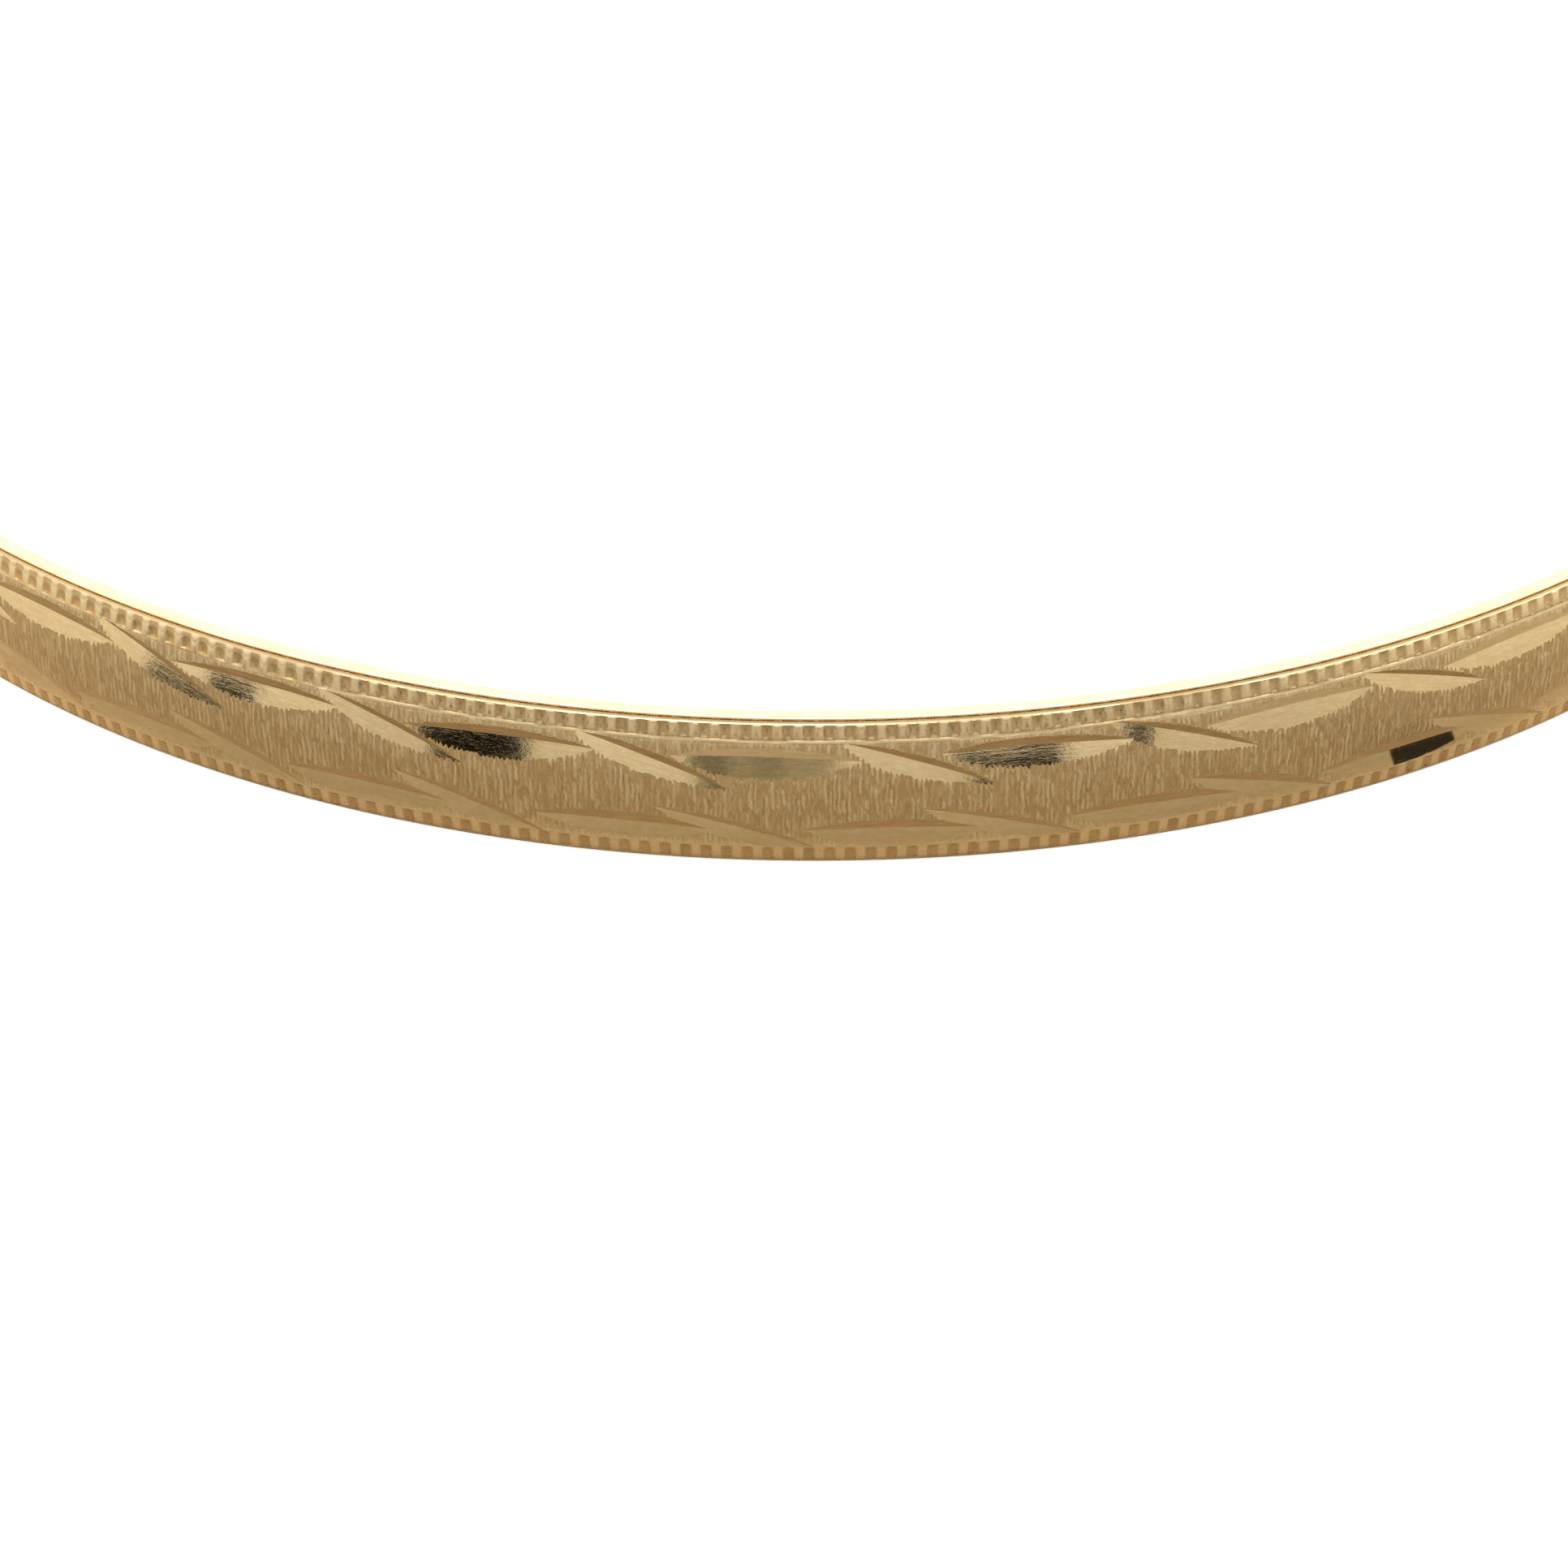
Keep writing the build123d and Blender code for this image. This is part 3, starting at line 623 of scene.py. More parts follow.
def wire_loop():
    """The safety catch: one round wire bent to a closed figure that is wide at both ends."""
    wide, waist, end = 0.62, 0.2, CATCH_REACH + 0.62
    right = [(wide, CATCH_REACH), (wide, CATCH_REACH - 0.9), (waist, 0.45), (waist, -CATCH_REACH + 0.75)]
    right += [(wide, -CATCH_REACH + 0.3), (wide, -CATCH_REACH - 0.3), (waist, -end)]
    corners = right + [(-x, y) for x, y in reversed(right)]
    path = rounded_outline(corners, [0.24] * len(corners), 7)
    height = BAND_WIDTH + 0.12 + 0.34
    n, sides = len(path), 20
    vertices, faces = [], []
    for i, (x, y) in enumerate(path):
        ahead = (Vector(path[(i + 1) % n]) - Vector(path[i - 1])).normalized()
        across = Vector((-ahead.y, ahead.x, 0))
        for k in range(sides):
            a = 2 * math.pi * k / sides
            v = Vector((CATCH_X + x, y, height)) + across * CATCH_WIRE * math.cos(a)
            vertices.append(tuple(v + Vector((0, 0, CATCH_WIRE * math.sin(a)))))
    for i in range(n):
        a, b = i * sides, ((i + 1) % n) * sides
        for k in range(sides):
            m = (k + 1) % sides
            faces.append([a + k, a + m, b + m, b + k])
    obj = to_mesh("catch_wire", vertices, faces)
    outward_check(obj)
    return obj


def hardware():
    """Every small piece, as (object, CAD node, finish)."""
    flat = lambda u, v, w: (u, v, w)
    made = []
    for name, side, clasp in (
        ("front_hinge_end_plate", -1, False),
        ("back_hinge_end_plate", 1, False),
        ("clasp_mouth_plate", -1, True),
        ("tongue_end_plate", 1, True),
    ):
        made.append((end_plate(f"{name}_eased", side, clasp), name, POLISHED))
    for name, side, bore in (
        ("lower_hinge_knuckle", -1, PIN),
        ("upper_hinge_knuckle", -1, PIN),
        ("centre_hinge_knuckle", 1, PIN + 0.03),
    ):
        made.append((knuckle(f"{name}_eased", name, side, bore), name, POLISHED))
    low, high = [v.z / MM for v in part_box("hinge_pin")]
    head = 0.5
    pin = [(0, low), (0.30, low), (0.42, low + 0.022), (0.48, low + 0.06)]
    pin += [(head, low + 0.10), (head, low + 0.128)]
    pin += [(PIN - 0.003, low + 0.13)]
    pin += [(r, high + low - z) for r, z in reversed(pin)]
    made.append((turned("hinge_pin_riveted", pin, (AXIS_X, 0, 0)), "hinge_pin", WIRE))

    tip = -TONGUE_DEPTH
    blade = [
        (-FOLD_OUTER, tip + FOLD_LENGTH), (-FOLD_OUTER, tip + FOLD_LENGTH / 2), (-BLADE_INNER, tip),
        (-BLADE_INNER, END_DEPTH), (-BLADE_INNER - SHEET, END_DEPTH),
        (-BLADE_INNER - SHEET, tip + FOLD_LENGTH),
    ]
    blade = rounded_outline(blade, [0.03, 0.1, 0.1, 0, 0, 0.03])
    wide = (MID - TONGUE_WIDTH / 2, MID + TONGUE_WIDTH / 2)
    made.append((prism("tongue_blade_folded", blade, *wide, flat, 0.02), "tongue_blade", SPRING))
    start, stop = tip + FOLD_LENGTH + 0.05, -END_DEPTH - 0.05
    leaf = [
        (-FOLD_OUTER, start), (-LEAF_END, stop - 0.46), (-SHOULDER, stop - 0.23), (-SHOULDER, stop),
        (-LEAF_END + SHEET, stop), (-FOLD_OUTER + SHEET, start),
    ]
    leaf = rounded_outline(leaf, [0.02, 0.3, 0.06, 0.03, 0.02, 0.02])
    spring = prism("tongue_spring_bent", leaf, *wide, flat, 0.02)
    stem_end = 0.14 + 0.45
    inner = -LEAF_END + SHEET
    stem = [(-LEAF_END, stop - 0.1), (inner, stop - 0.1), (inner, stem_end), (-LEAF_END, stem_end)]
    join_solid(spring, [prism("stem", stem, MID - 0.4, MID + 0.4, flat, 0.015)])
    made.append((spring, "tongue_spring_leaf", SPRING))

    low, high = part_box("thumb_tab")
    low, high = low / MM, high / MM
    across, along = (high.z - low.z) / 2, (high.y - low.y) / 2
    y, top = (high.y + low.y) / 2, low.x
    pad = [(-along, -across), (along, -across), (along, across), (-along, across)]
    pad = rounded_outline(pad, 0.36, 8)
    tab = prism("thumb_tab_pad", pad, 0.0, 0.42, lambda u, v, w: (top + w, y + u, MID + v), 0.14)
    post = [(top + 0.3, 0.14), (-LEAF_END, 0.14), (-LEAF_END, stem_end), (top + 0.3, stem_end)]
    join_solid(tab, [prism("tab_stem", post, MID - 0.4, MID + 0.4, flat, 0.015)])
    made.append((tab, "thumb_tab", POLISHED))

    base = BAND_WIDTH + 0.12
    ball, ball_z = 0.38, BAND_WIDTH + 0.62
    neck = math.asin(0.2 / ball)
    ring = [neck + (math.pi - neck) * i / 20 for i in range(21)]
    post = [(0, base), (0.215, base), (0.2, base + 0.03)]
    post += [(ball * math.sin(a), ball_z - ball * math.cos(a)) for a in ring[:-1]] + [(0, ball_z + ball)]
    made.append((turned("catch_post_turned", post, (CATCH_X, -CATCH_REACH, 0)), "catch_post", POLISHED))
    tube_out = eased(-0.4, 0.4, 0.03, 0.34)
    bore = [(0.2, 0.4), (0.2, -0.4)]
    centre = (CATCH_X, CATCH_REACH, base + 0.34)
    tube = turned("catch_tube_turned", tube_out + bore, centre, up=(1, 0, 0), sides=64)
    made.append((tube, "catch_pivot_tube", POLISHED))
    made.append((wire_loop(), "safety_catch", WIRE))
    for node in ("catch_post_seat", "catch_pivot_seat"):
        seat = frame["nodes"][node].copy()
        seat.data = seat.data.copy()
        seat.name = f"{node}_eased"
        bpy.context.scene.collection.objects.link(seat)
        for key in list(seat.keys()):
            del seat[key]
        seat.parent = None
        made.append((ease_edges(seat), node, POLISHED))
    return made


# ---------------------------------------------------------------- materials
class Graph:
    """Small helper for building node materials."""

    def __init__(self, name):
        self.material = bpy.data.materials.new(name)
        self.material.use_nodes = True
        self.tree = self.material.node_tree
        self.shader = self.tree.nodes["Principled BSDF"]

    def link(self, source, target):
        self.tree.links.new(source, target)

    def math(self, operation, a, b=None, c=None, clamp=False):
        made = self.tree.nodes.new("ShaderNodeMath")
        made.operation = operation
        made.use_clamp = clamp
        for socket, value in zip(made.inputs, (a, b, c)):
            if value is None:
                continue
            if isinstance(value, (int, float)):
                socket.default_value = value
            else:
                self.link(value, socket)
        return made.outputs[0]

    def set(self, name, value):
        self.shader.inputs[name].default_value = value

    def times(self, a, b, clamp=False):
        return self.math("MULTIPLY", a, b, clamp=clamp)

    def combine(self, x, y, z):
        made = self.tree.nodes.new("ShaderNodeCombineXYZ")
        for socket, value in zip(made.inputs, (x, y, z)):
            if isinstance(value, (int, float)):
                socket.default_value = value
            else:
                self.link(value, socket)
        return made.outputs[0]

    def noise(self, vector, scale=1.0, detail=2.0, roughness=0.5, distortion=0.0):
        made = self.tree.nodes.new("ShaderNodeTexNoise")
        self.link(vector, made.inputs["Vector"])
        made.inputs["Scale"].default_value = scale
        made.inputs["Detail"].default_value = detail
        made.inputs["Roughness"].default_value = roughness
        made.inputs["Distortion"].default_value = distortion
        return made.outputs[0]

    def remap(self, value, low, high, to_low, to_high, smooth=False):
        made = self.tree.nodes.new("ShaderNodeMapRange")
        made.interpolation_type = "SMOOTHSTEP" if smooth else "LINEAR"
        self.link(value, made.inputs[0])
        for socket, number in zip(list(made.inputs)[1:5], (low, high, to_low, to_high)):
            socket.default_value = number
        return made.outputs[0]

    def mix(self, factor, a, b):
        made = self.tree.nodes.new("ShaderNodeMix")
        made.data_type = "RGBA"
        self.link(factor, made.inputs[0])
        for socket, value in ((made.inputs[6], a), (made.inputs[7], b)):
            if isinstance(value, tuple):
                socket.default_value = (*value, 1)
            else:
                self.link(value, socket)
        return made.outputs[2]

    def bump(self, height, strength, distance, normal=None):
        made = self.tree.nodes.new("ShaderNodeBump")
        made.inputs["Strength"].default_value = strength
        made.inputs["Distance"].default_value = distance
        self.link(height, made.inputs["Height"])
        if normal is not None:
            self.link(normal, made.inputs["Normal"])
        return made.outputs[0]

    def ring_coordinates(self):
        """Distance round the ring, height and radius, in millimetres."""
        place = self.tree.nodes.new("ShaderNodeTexCoord")
        parts = self.tree.nodes.new("ShaderNodeSeparateXYZ")
        self.link(place.outputs["Object"], parts.inputs[0])
        x, y, z = parts.outputs
        around = self.times(self.math("ARCTAN2", y, x), EDGE_RADIUS)
        up = self.times(z, 1000.0)
        radius = self.math("SQRT", self.math("ADD", self.times(x, x), self.times(y, y)))
        return around, up, self.times(radius, 1000.0)

    def finish(self, colour, roughness, normal):
        self.set("Metallic", 1.0)
        self.link(colour, self.shader.inputs["Base Color"])
        self.link(roughness, self.shader.inputs["Roughness"])
        self.link(normal, self.shader.inputs["Normal"])
        return self.material


GOLD_LIGHT = (0.95, 0.77, 0.47)
GOLD = (0.88, 0.66, 0.36)
GOLD_DEEP = (0.62, 0.415, 0.19)
CUT_DARK = (0.80, 0.585, 0.30)
# the two wall colours are painted shade: cut walls that face down are coloured darker than the facets' gold
WALL_SHADE_DARK, WALL_SHADE_LIGHT = (0.50, 0.335, 0.15), (0.66, 0.46, 0.225)
# the gap colour is painted shade for the recesses between beads; the two bead colours vary at random
BEAD_DARK, BEAD_LIGHT, BEAD_GAP_SHADE = (0.80, 0.585, 0.31), (0.92, 0.72, 0.42), (0.55, 0.37, 0.17)


def matted_gold():
    """Gold matted with fine strokes that run across the band. Its colour is painted lighter along noise
    streaks and on crests that stand above the dome: painted highlight, with random tone besides.
    """
    g = Graph("matted_gold")
    around, up, radius = g.ring_coordinates()
    wiggle = g.noise(g.combine(g.times(around, 3.0), g.times(up, 3.0), 0.0), 1.0, 1.0)
    bent = g.math("ADD", around, g.times(wiggle, 0.10))
    strokes = g.noise(g.combine(g.times(bent, 15.0), g.times(up, 1.9), 3.0), 1.0, 3.0, 0.62)
    fine = g.noise(g.combine(g.times(bent, 38.0), g.times(up, 5.0), 8.0), 1.0, 2.0, 0.6)
    cloud = g.noise(g.combine(around, up, radius), 0.6, 3.0)
    # painted highlight: the colour is lighter along these noise streaks
    painted_streak_highlight = g.remap(strokes, 0.44, 0.62, 0.0, 1.0, smooth=True)
    share = g.math("DIVIDE", g.math("SUBTRACT", up, MID), SHELL_HALF)
    face = g.math("SUBTRACT", EDGE_RADIUS + OUTER_DOME, g.times(g.times(share, share), OUTER_DOME))
    # painted highlight: the colour is lighter where the surface stands above the dome, on the strokes' crests
    painted_crest_highlight = g.remap(g.math("SUBTRACT", radius, face), -0.008, 0.008, 0.0, 1.0, smooth=True)
    tone = g.math("ADD", g.times(painted_streak_highlight, 0.35), g.times(painted_crest_highlight, 0.6))
    tone = g.math("ADD", tone, g.times(cloud, 0.2), clamp=True)
    colour = g.mix(tone, GOLD_DEEP, GOLD_LIGHT)
    roughness = g.remap(fine, 0.3, 0.7, 0.26, 0.38)
    bumped = g.bump(strokes, 1.0, 0.00006)
    bumped = g.bump(fine, 0.7, 0.000016, bumped)
    return g.finish(colour, roughness, bumped)


def cut_gold(name, tilt):
    """Bright-cut facets: nearly a mirror, with fine tool lines along the cut."""
    g = Graph(name)
    around, up, radius = g.ring_coordinates()
    turn = math.radians(tilt)
    along = g.math("ADD", g.times(around, math.cos(turn)), g.times(up, math.sin(turn)))
    across = g.math("SUBTRACT", g.times(up, math.cos(turn)), g.times(around, math.sin(turn)))
    lines = g.noise(g.combine(g.times(along, 0.7), g.times(across, 11.0), 0.0), 1.0, 4.0, 0.72)
    chatter = g.noise(g.combine(g.times(along, 2.2), g.times(across, 1.2), 5.0), 1.0, 2.0)
    speck = g.noise(g.combine(g.times(along, 5.0), g.times(across, 8.0), 9.0), 1.0, 3.0, 0.7)
    tone = g.times(g.remap(lines, 0.3, 0.7, 0.2, 1.2), g.remap(chatter, 0.3, 0.7, 0.6, 1.0))
    tone = g.times(tone, g.remap(speck, 0.35, 0.6, 0.35, 1.1), clamp=True)
    colour = g.mix(tone, CUT_DARK, GOLD_LIGHT)
    roughness = g.remap(lines, 0.25, 0.75, 0.05, 0.12)
    bumped = g.bump(lines, 0.5, 0.000005)
    bumped = g.bump(chatter, 0.3, 0.000005, bumped)
    bumped = g.bump(speck, 0.5, 0.000004, bumped)
    return g.finish(colour, roughness, bumped)


def shaded_wall_gold():
    """The steep side of each cut, which faces down: coloured darker as painted shade, and scored by the edge
    of the tool.
    """
    g = Graph("cut_wall_painted_shade")
    around, up, radius = g.ring_coordinates()
    score = g.noise(g.combine(g.times(around, 1.5), g.times(up, 14.0), radius), 1.0, 3.0, 0.6)
    colour = g.mix(g.remap(score, 0.3, 0.7, 0.0, 1.0), WALL_SHADE_DARK, WALL_SHADE_LIGHT)
    roughness = g.remap(score, 0.3, 0.7, 0.16, 0.28)
    return g.finish(colour, roughness, g.bump(score, 0.4, 0.000005))


def polished_gold(name="polished_gold_finish", light=GOLD_LIGHT, dark=GOLD, rough=(0.06, 0.14)):
    """Polished gold with hairline scratches that mostly follow the ring."""
    g = Graph(name)
    around, up, radius = g.ring_coordinates()
    cross = g.math("ADD", g.times(up, 1.0), g.times(radius, 1.0))
    hair = g.noise(g.combine(g.times(around, 0.8), g.times(cross, 22.0), 0.0), 1.0, 3.0, 0.65)
    cloud = g.noise(g.combine(around, up, radius), 0.9, 3.0)
    colour = g.mix(g.remap(cloud, 0.3, 0.7, 0.0, 1.0), dark, light)
    roughness = g.remap(hair, 0.3, 0.75, rough[0], rough[1])
    bumped = g.bump(hair, 0.25, 0.000003)
    return g.finish(colour, roughness, bumped)


def beaded_gold():
    """The beaded edges: bright on the beads, and coloured darker in the gaps between them, which is painted
    shade in those recesses.
    """
    g = Graph("beaded_edge")
    around, up, radius = g.ring_coordinates()
    turns = g.times(around, 180 / math.pi / EDGE_RADIUS / BEAD_PITCH)
    phase = g.math("FRACT", g.math("ADD", turns, 400.0 + (90 / BEAD_PITCH) % 1.0))
    gap = g.math("SUBTRACT", 0.5, g.math("ABSOLUTE", g.math("SUBTRACT", phase, 0.5)))
    bead = g.remap(gap, 0.14, 0.30, 1.0, 0.0, smooth=True)
    height = g.math("ABSOLUTE", g.math("SUBTRACT", up, MID))
    inside = g.remap(height, 1.56, 1.62, 0.0, 1.0, smooth=True)
    outside = g.remap(height, 1.97, 2.03, 1.0, 0.0, smooth=True)
    band = g.times(inside, outside)
    cloud = g.noise(g.combine(around, up, radius), 2.2, 3.0)
    # painted shade: darker colour in the gaps between beads, within the beaded rows
    gap_shade = g.times(band, g.math("SUBTRACT", 1.0, bead))
    gap_shade = g.times(gap_shade, g.remap(cloud, 0.3, 0.7, 0.6, 1.0))
    colour = g.mix(gap_shade, g.mix(cloud, BEAD_DARK, BEAD_LIGHT), BEAD_GAP_SHADE)
    grain = g.noise(g.combine(g.times(around, 9.0), g.times(up, 9.0), radius), 1.0, 3.0)
    roughness = g.remap(grain, 0.3, 0.7, 0.20, 0.34)
    bumped = g.bump(grain, 0.5, 0.00001)
    return g.finish(colour, roughness, bumped)


def drawn_gold(name, stretch, light, dark, rough):
    """Gold strip or wire with draw lines along one axis of the object."""
    g = Graph(name)
    place = g.tree.nodes.new("ShaderNodeTexCoord")
    scale = g.tree.nodes.new("ShaderNodeVectorMath")
    scale.operation = "MULTIPLY"
    g.link(place.outputs["Object"], scale.inputs[0])
    scale.inputs[1].default_value = [1000 * s for s in stretch]
    lines = g.noise(scale.outputs[0], 1.0, 3.0, 0.6)
    cloud = g.noise(place.outputs["Object"], 900.0, 3.0)
    colour = g.mix(g.remap(cloud, 0.3, 0.7, 0.0, 1.0), dark, light)
    roughness = g.remap(lines, 0.3, 0.7, rough[0], rough[1])
    bumped = g.bump(lines, 0.35, 0.000004)
    return g.finish(colour, roughness, bumped)


MATTED = matted_gold()
BEADED = beaded_gold()
CUT_LEVEL = cut_gold("bright_cut_level", 0.0)
CUT_LEANING = cut_gold("bright_cut_leaning", -18.0)
SHADED_WALL_FINISH = shaded_wall_gold()
POLISHED = polished_gold()
SPRING = drawn_gold("spring_gold_finish", (14, 1.2, 14), GOLD_LIGHT, GOLD, (0.16, 0.28))
WIRE = drawn_gold("gold_wire_finish", (12, 2, 12), GOLD_LIGHT, GOLD, (0.08, 0.18))


# ---------------------------------------------------------------- pieces
def dress(obj, body, slot_name, *nodes):
    """Give a piece its body, and let it stand in for CAD nodes. slot_name is not used."""
    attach(obj, body)
    if nodes:
        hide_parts(*nodes)


for side, half in ((-1, "front"), (1, "back")):
    seed = 11 if side < 0 else 29
    ring = shell(f"{half}_engraved_shell", side, seed)
    outward_check(ring)
    for material in (MATTED, CUT_LEVEL, CUT_LEANING, BEADED, SHADED_WALL_FINISH):
        ring.data.materials.append(material)
    kinds = ("upper_level", "lower_level")
    level = leaf_cutter(f"{half}_level_cutter", side, kinds, ON_LEVEL_LEAF, seed + 1)
    kinds = ("upper_leaning", "lower_leaning")
    leaning = leaf_cutter(f"{half}_leaning_cutter", side, kinds, ON_LEANING_LEAF, seed + 2)
    outward_check(level)
    outward_check(leaning)
    carve(ring, [level, leaning] + hinge_cutters(side))
    mesh = ring.data
    # cut faces that face down take the darker wall colour, which is painted shade
    for polygon in mesh.polygons:
        if polygon.material_index in (ON_LEVEL_LEAF, ON_LEANING_LEAF) and polygon.normal.z < WALL_FACES_DOWN:
            polygon.material_index = ON_SHADED_WALL
    matted = [p.material_index == ON_FIELD for p in mesh.polygons]
    heights = [p.center.z / MM - MID for p in mesh.polygons]
    flat = [m and abs(h) < FIELD_HALF for m, h in zip(matted, heights)]
    outer = [math.hypot(p.center.x, p.center.y) / MM > SHELL_INNER + 0.02 for p in mesh.polygons]
    for polygon, m, h, o in zip(mesh.polygons, matted, heights, outer):
        if m and (abs(h) > 1.5 or not o):
            polygon.material_index = ON_BEADS
    mesh.polygons.foreach_set("use_smooth", np.logical_not(flat))
    work = bmesh.new()
    work.from_mesh(mesh)
    for edge in work.edges:
        if len(edge.link_faces) == 2:
            a, b = edge.link_faces
            if a.material_index != b.material_index and {a.material_index, b.material_index} != {0, 3}:
                edge.smooth = False
            elif a.material_index in (1, 2) and a.normal.angle(b.normal, 0) > math.radians(6):
                edge.smooth = False
            elif a.normal.angle(b.normal, 0) > math.radians(60):
                edge.smooth = False
    work.to_mesh(mesh)
    work.free()
    dress(ring, f"{half}_half", "engraved_gold", f"{half}_outer_shell")

    lining = liner(f"{half}_polished_liner", side)
    outward_check(lining)
    lining.data.materials.append(POLISHED)
    carve(lining, [c for c in hinge_cutters(side)])
    dress(lining, f"{half}_half", "polished_gold", f"{half}_liner")

SLOT_OF = {POLISHED: "polished_gold", SPRING: "spring_gold", WIRE: "gold_wire"}
BODY_OF = {node: body for body, members in frame["record"]["behaviour"]["bodies"].items() for node in members}
for obj, node, finish in hardware():
    crisp(obj)
    obj.data.materials.clear()
    obj.data.materials.append(finish)
    dress(obj, BODY_OF[node], SLOT_OF[finish], node)


# ---------------------------------------------------------------- studio
def camera():
    """The photograph's viewpoint: close, just above the front of the band."""
    distance, elevation = 4.2 * EDGE_RADIUS, math.radians(34.62)
    pan, tilt, roll = math.radians(-0.453), math.radians(0.096), math.radians(-0.365)
    place = Vector((0, -EDGE_RADIUS - distance * math.cos(elevation), MID + distance * math.sin(elevation)))
    look = -elevation + tilt
    forward = Vector((math.sin(pan) * math.cos(look), math.cos(pan) * math.cos(look), math.sin(look)))
    right = Vector((math.cos(pan), -math.sin(pan), 0))
    up = right.cross(forward)
    turned = right * math.cos(roll) + up * math.sin(roll)
    up = up * math.cos(roll) - right * math.sin(roll)
    data = bpy.data.cameras.new("camera")
    data.lens = 124.15
    data.sensor_width = 36.0
    data.clip_start = 0.005
    data.clip_end = 10.0
    obj = bpy.data.objects.new("camera", data)
    matrix = Matrix((turned, up, -forward)).transposed().to_4x4()
    matrix.translation = place * MM
    obj.matrix_world = matrix
    bpy.context.scene.collection.objects.link(obj)
    bpy.context.scene.camera = obj


def place_x(g):
    """How far to the side a point lies, in millimetres."""
    place = g.tree.nodes.new("ShaderNodeTexCoord")
    parts = g.tree.nodes.new("ShaderNodeSeparateXYZ")
    g.link(place.outputs["Object"], parts.inputs[0])
    return g.times(parts.outputs[0], 1000.0)


def floor():
    """A plain white table. Reflections see it less brightly than the camera does, with painted shade and
    light in that colour: a painted shadow near the band, a painted bright ring at the band's foot, and
    painted light towards the sides.
    """
    mesh = bpy.data.meshes.new("floor")
    size = 1.5
    corners = [(-size, -size, 0), (size, -size, 0), (size, size, 0), (-size, size, 0)]
    mesh.from_pydata(corners, [], [[0, 1, 2, 3]])
    obj = bpy.data.objects.new("floor", mesh)
    bpy.context.scene.collection.objects.link(obj)
    obj.location.z = -0.00002
    g = Graph("floor_white_painted_shade_and_light")
    rays = g.tree.nodes.new("ShaderNodeLightPath")
    around, up, radius = g.ring_coordinates()
    ramp = g.tree.nodes.new("ShaderNodeValToRGB")
    g.link(g.math("DIVIDE", radius, 100.0), ramp.inputs[0])
    # the colour that reflections see, by distance from the ring's axis: a painted shadow near the band with a
    # painted bright ring at its foot, lighter further out
    painted_shade_and_light_stops = (
        (0.0, (0.30, 0.29, 0.27)),
        (0.28, (0.30, 0.28, 0.25)),
        (0.312, (0.74, 0.64, 0.50)),
        (0.320, (0.50, 0.43, 0.33)),
        (0.327, (0.27, 0.235, 0.18)),
        (0.340, (0.25, 0.217, 0.168)),
        (0.36, (0.26, 0.23, 0.185)),
        (0.42, (0.285, 0.265, 0.23)),
        (0.60, (0.34, 0.33, 0.30)),
        (1.0, (0.44, 0.43, 0.41)),
    )
    while len(ramp.color_ramp.elements) < len(painted_shade_and_light_stops):
        ramp.color_ramp.elements.new(0.5)
    for element, (place, tone) in zip(ramp.color_ramp.elements, painted_shade_and_light_stops):
        element.position = place
        element.color = (*tone, 1)
    # painted light: reflections see the floor brighter towards the sides
    sideways = g.math("ABSOLUTE", g.math("DIVIDE", place_x(g), g.math("MAXIMUM", radius, 1.0)))
    lift = g.remap(sideways, 0.45, 0.85, 1.0, 1.45, smooth=True)
    painted_side_light = g.tree.nodes.new("ShaderNodeVectorMath")
    painted_side_light.operation = "SCALE"
    g.link(ramp.outputs[0], painted_side_light.inputs[0])
    g.link(lift, painted_side_light.inputs["Scale"])
    colour = g.mix(rays.outputs["Is Camera Ray"], painted_side_light.outputs[0], (0.93, 0.93, 0.93))
    g.link(colour, g.shader.inputs["Base Color"])
    g.set("Roughness", 0.9)
    g.set("Specular IOR Level", 0.1)
    g.set("Emission Color", (1, 1, 1, 1))
    g.link(g.times(rays.outputs["Is Camera Ray"], 0.62), g.shader.inputs["Emission Strength"])
    mesh.materials.append(g.material)


DARK = {
    # which leaf, which repeat, where along it (mm from its middle), how dark: what it reflects is a dark card
    "left_dark": ("upper_level", -3, -1.55, 0.15, 0.03),
    "left_black": ("upper_level", -2, -2.5, 0.75, 0.004),
    "middle_grey": ("upper_level", -1, -2.2, -1.0, 0.17),
    "middle_near": ("upper_level", -1, -1.0, -0.25, 0.31),
    "middle_soft": ("upper_level", -1, -0.25, 0.45, 0.24),
    "middle_far": ("upper_level", -1, 0.45, 2.0, 0.33),
    "right_dark": ("upper_level", 0, -2.35, 0.9, 0.012),
    "leaning_left": ("upper_leaning", -3, -0.2, 2.3, 0.04),
    "leaning_right": ("upper_leaning", 1, -1.9, -1.0, 0.05),
    "lower_right": ("lower_level", 2, -0.2, 1.7, 0.03),
}


def leaf_frame(angle, rise, length, tilt, facet_width, wall_width):
    """Middle of a leaf's facet, its direction and its normal, on the front half."""
    turn, azimuth = math.radians(tilt), math.radians(angle)
    face_radius = dome(rise)
    depth = 0.84 * length**2 / 8 * (math.cos(turn) ** 2 / face_radius + math.sin(turn) ** 2 / DOME_RADIUS)
    slope = (depth - facet_width**2 / 2 / DOME_RADIUS) / facet_width
    radial = Vector((math.sin(azimuth), -math.cos(azimuth), 0))
    tangent = Vector((math.cos(azimuth), math.sin(azimuth), 0))
    lean = math.asin(rise / DOME_RADIUS)
    outward = radial * math.cos(lean) + Vector((0, 0, math.sin(lean)))
    up = -radial * math.sin(lean) + Vector((0, 0, math.cos(lean)))
    along = tangent * math.cos(turn) + up * math.sin(turn)
    across = -tangent * math.sin(turn) + up * math.cos(turn)
    middle = radial * face_radius + Vector((0, 0, MID + rise)) - outward * depth - across * facet_width * 0.45
    return middle, along, (outward + across * slope).normalized()


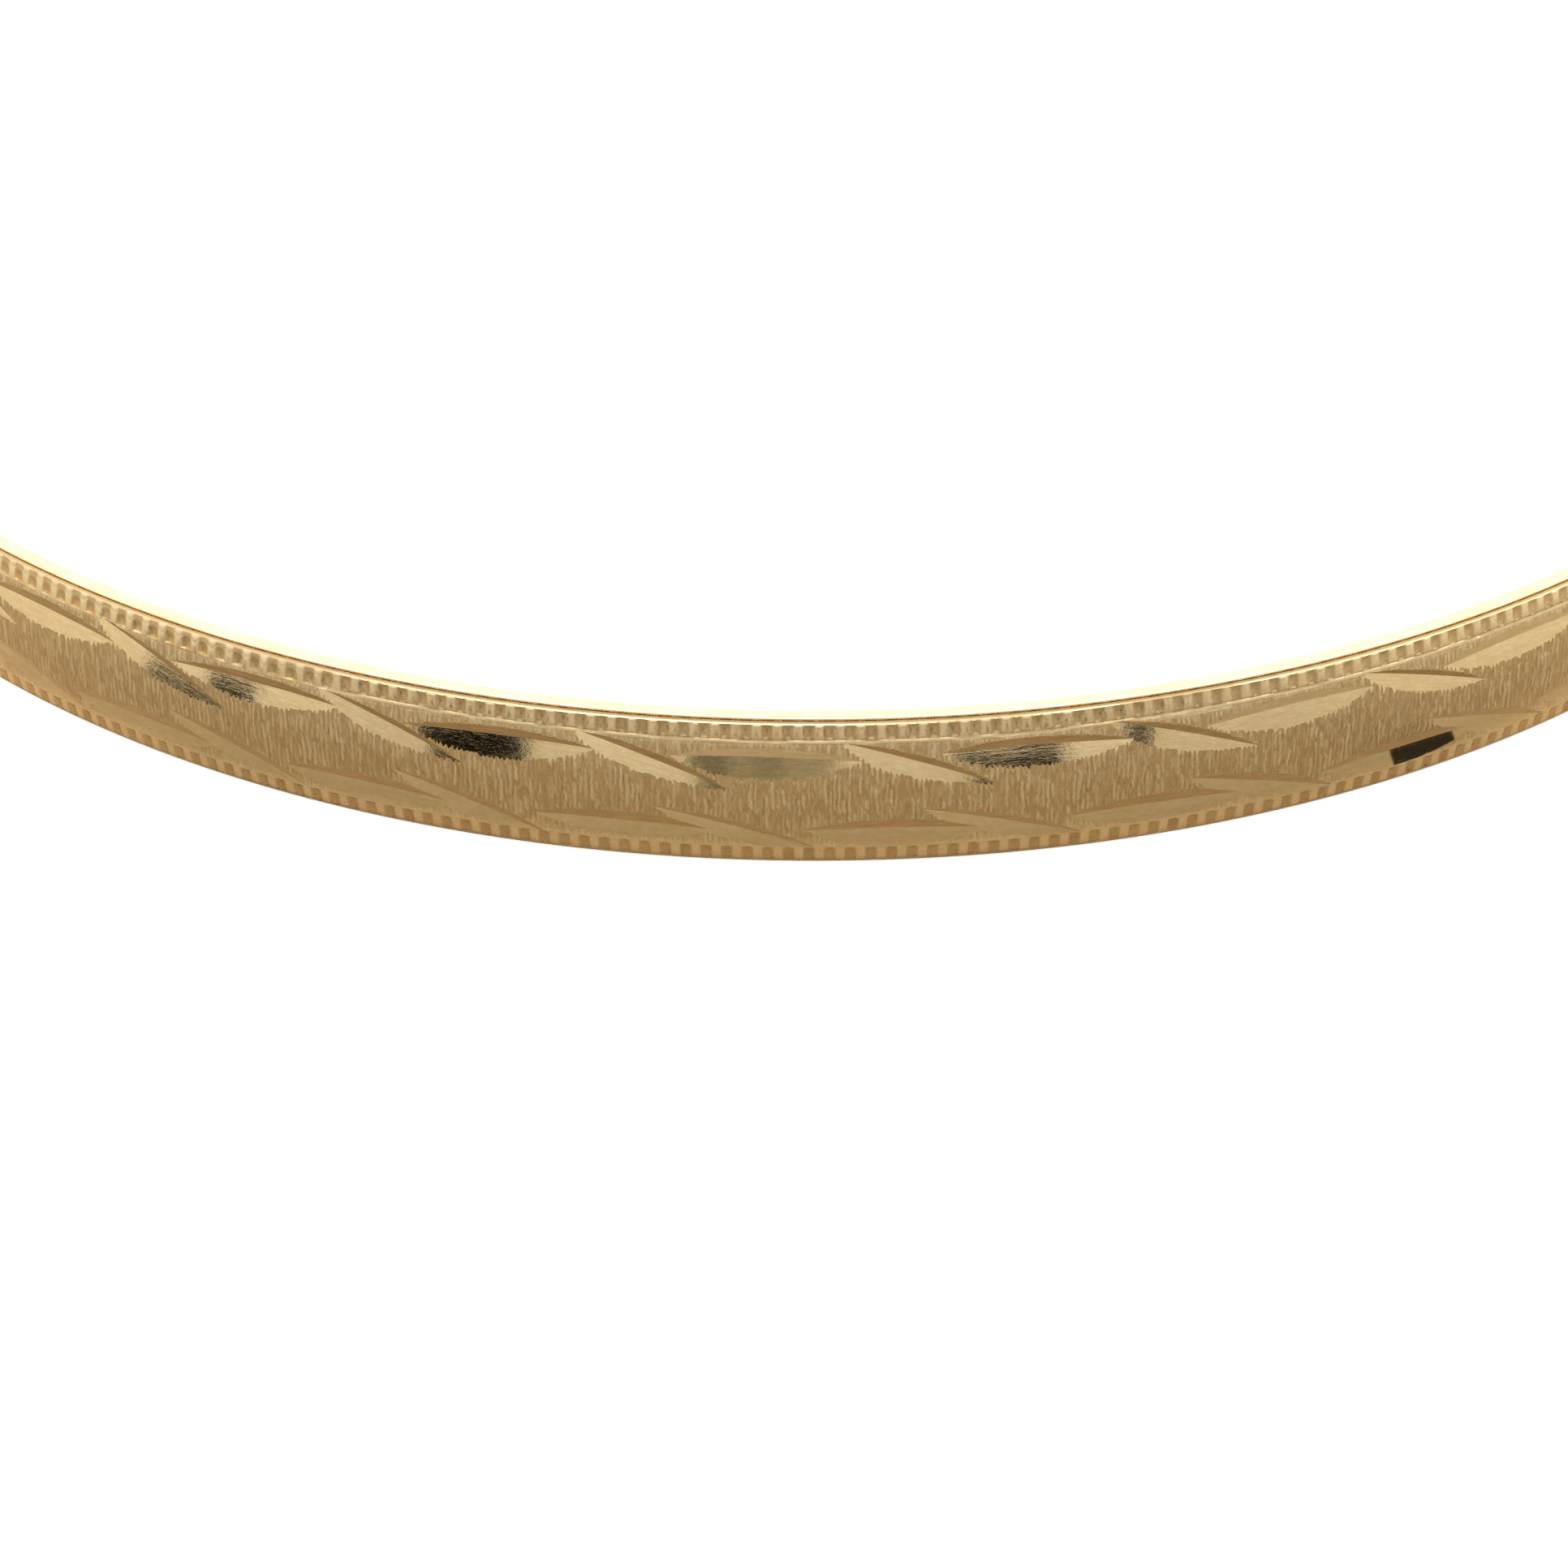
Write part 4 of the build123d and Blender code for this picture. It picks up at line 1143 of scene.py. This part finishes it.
def dark_cards():
    """Small dark cards in front of the band, as a jeweller's photographer sets them. Only facets see them."""
    eye = bpy.context.scene.camera.matrix_world.translation / MM
    for name, (kind, repeat, start, end, tone) in DARK.items():
        angle, *shape = LEAVES[kind]
        middle, along, normal = leaf_frame(angle + repeat * PITCH, *shape)
        ends = []
        for shift in (start, end):
            point = middle + along * shift
            sight = (point - eye).normalized()
            ray = sight - normal * 2 * sight.dot(normal)
            reach = 12.0 if ray.z >= 0 else min(12.0, -0.8 * point.z / ray.z)
            ends.append(point + ray * reach)
        lift = (ends[1] - ends[0]).normalized().cross((ends[0] - middle).normalized())
        far = (ends[0] - middle).length
        lift *= 1 if lift.z > 0 else -1
        low, high = lift * -(0.3 + 0.1 * far), lift * (0.22 + 0.075 * far)
        corners = [ends[0] + low, ends[1] + low, ends[1] + high, ends[0] + high]
        card = to_mesh(f"card_{name}", [tuple(c) for c in corners], [[0, 1, 2, 3]])
        g = Graph(f"card_{name}")
        g.set("Base Color", (0, 0, 0, 1))
        g.set("Roughness", 1.0)
        g.set("Specular IOR Level", 0.0)
        g.set("Emission Color", (1.0, 0.93, 0.74, 1))
        g.set("Emission Strength", tone)
        card.data.materials.append(g.material)
        card.visible_camera = False
        card.visible_diffuse = False
        card.visible_shadow = False


def world():
    """A soft white surround, brighter overhead and behind than in front."""
    made = bpy.data.worlds.new("studio")
    bpy.context.scene.world = made
    made.use_nodes = True
    tree = made.node_tree
    back = tree.nodes["Background"]
    place = tree.nodes.new("ShaderNodeTexCoord")
    parts = tree.nodes.new("ShaderNodeSeparateXYZ")
    tree.links.new(place.outputs["Generated"], parts.inputs[0])
    ramps = []
    for axis, numbers in ((2, (0.0, 0.5, 0.60, 1.80)), (1, (-0.9, 0.1, 0.55, 1.0))):
        ramp = tree.nodes.new("ShaderNodeMapRange")
        ramp.interpolation_type = "SMOOTHSTEP"
        tree.links.new(parts.outputs[axis], ramp.inputs[0])
        for socket, number in zip(list(ramp.inputs)[1:5], numbers):
            socket.default_value = number
        ramps.append(ramp)
    both = tree.nodes.new("ShaderNodeMath")
    both.operation = "MULTIPLY"
    for ramp, socket in zip(ramps, both.inputs):
        tree.links.new(ramp.outputs[0], socket)
    back.inputs["Color"].default_value = (1.0, 0.99, 0.97, 1)
    tree.links.new(both.outputs[0], back.inputs["Strength"])


def lamp(name, place, target, size, power):
    """A rectangular softbox, aimed at a point."""
    data = bpy.data.lights.new(name, "AREA")
    data.shape = "RECTANGLE"
    data.size, data.size_y = size
    data.energy = power
    obj = bpy.data.objects.new(name, data)
    obj.location = place
    aim = Vector(target) - Vector(place)
    obj.rotation_euler = aim.to_track_quat("-Z", "Y").to_euler()
    bpy.context.scene.collection.objects.link(obj)


camera()
floor()
dark_cards()
world()
lamp("overhead_softbox", (0.0, 0.05, 0.40), (0, 0, 0), (0.35, 0.25), 1.15)
bpy.context.scene.view_settings.view_transform = "Standard"
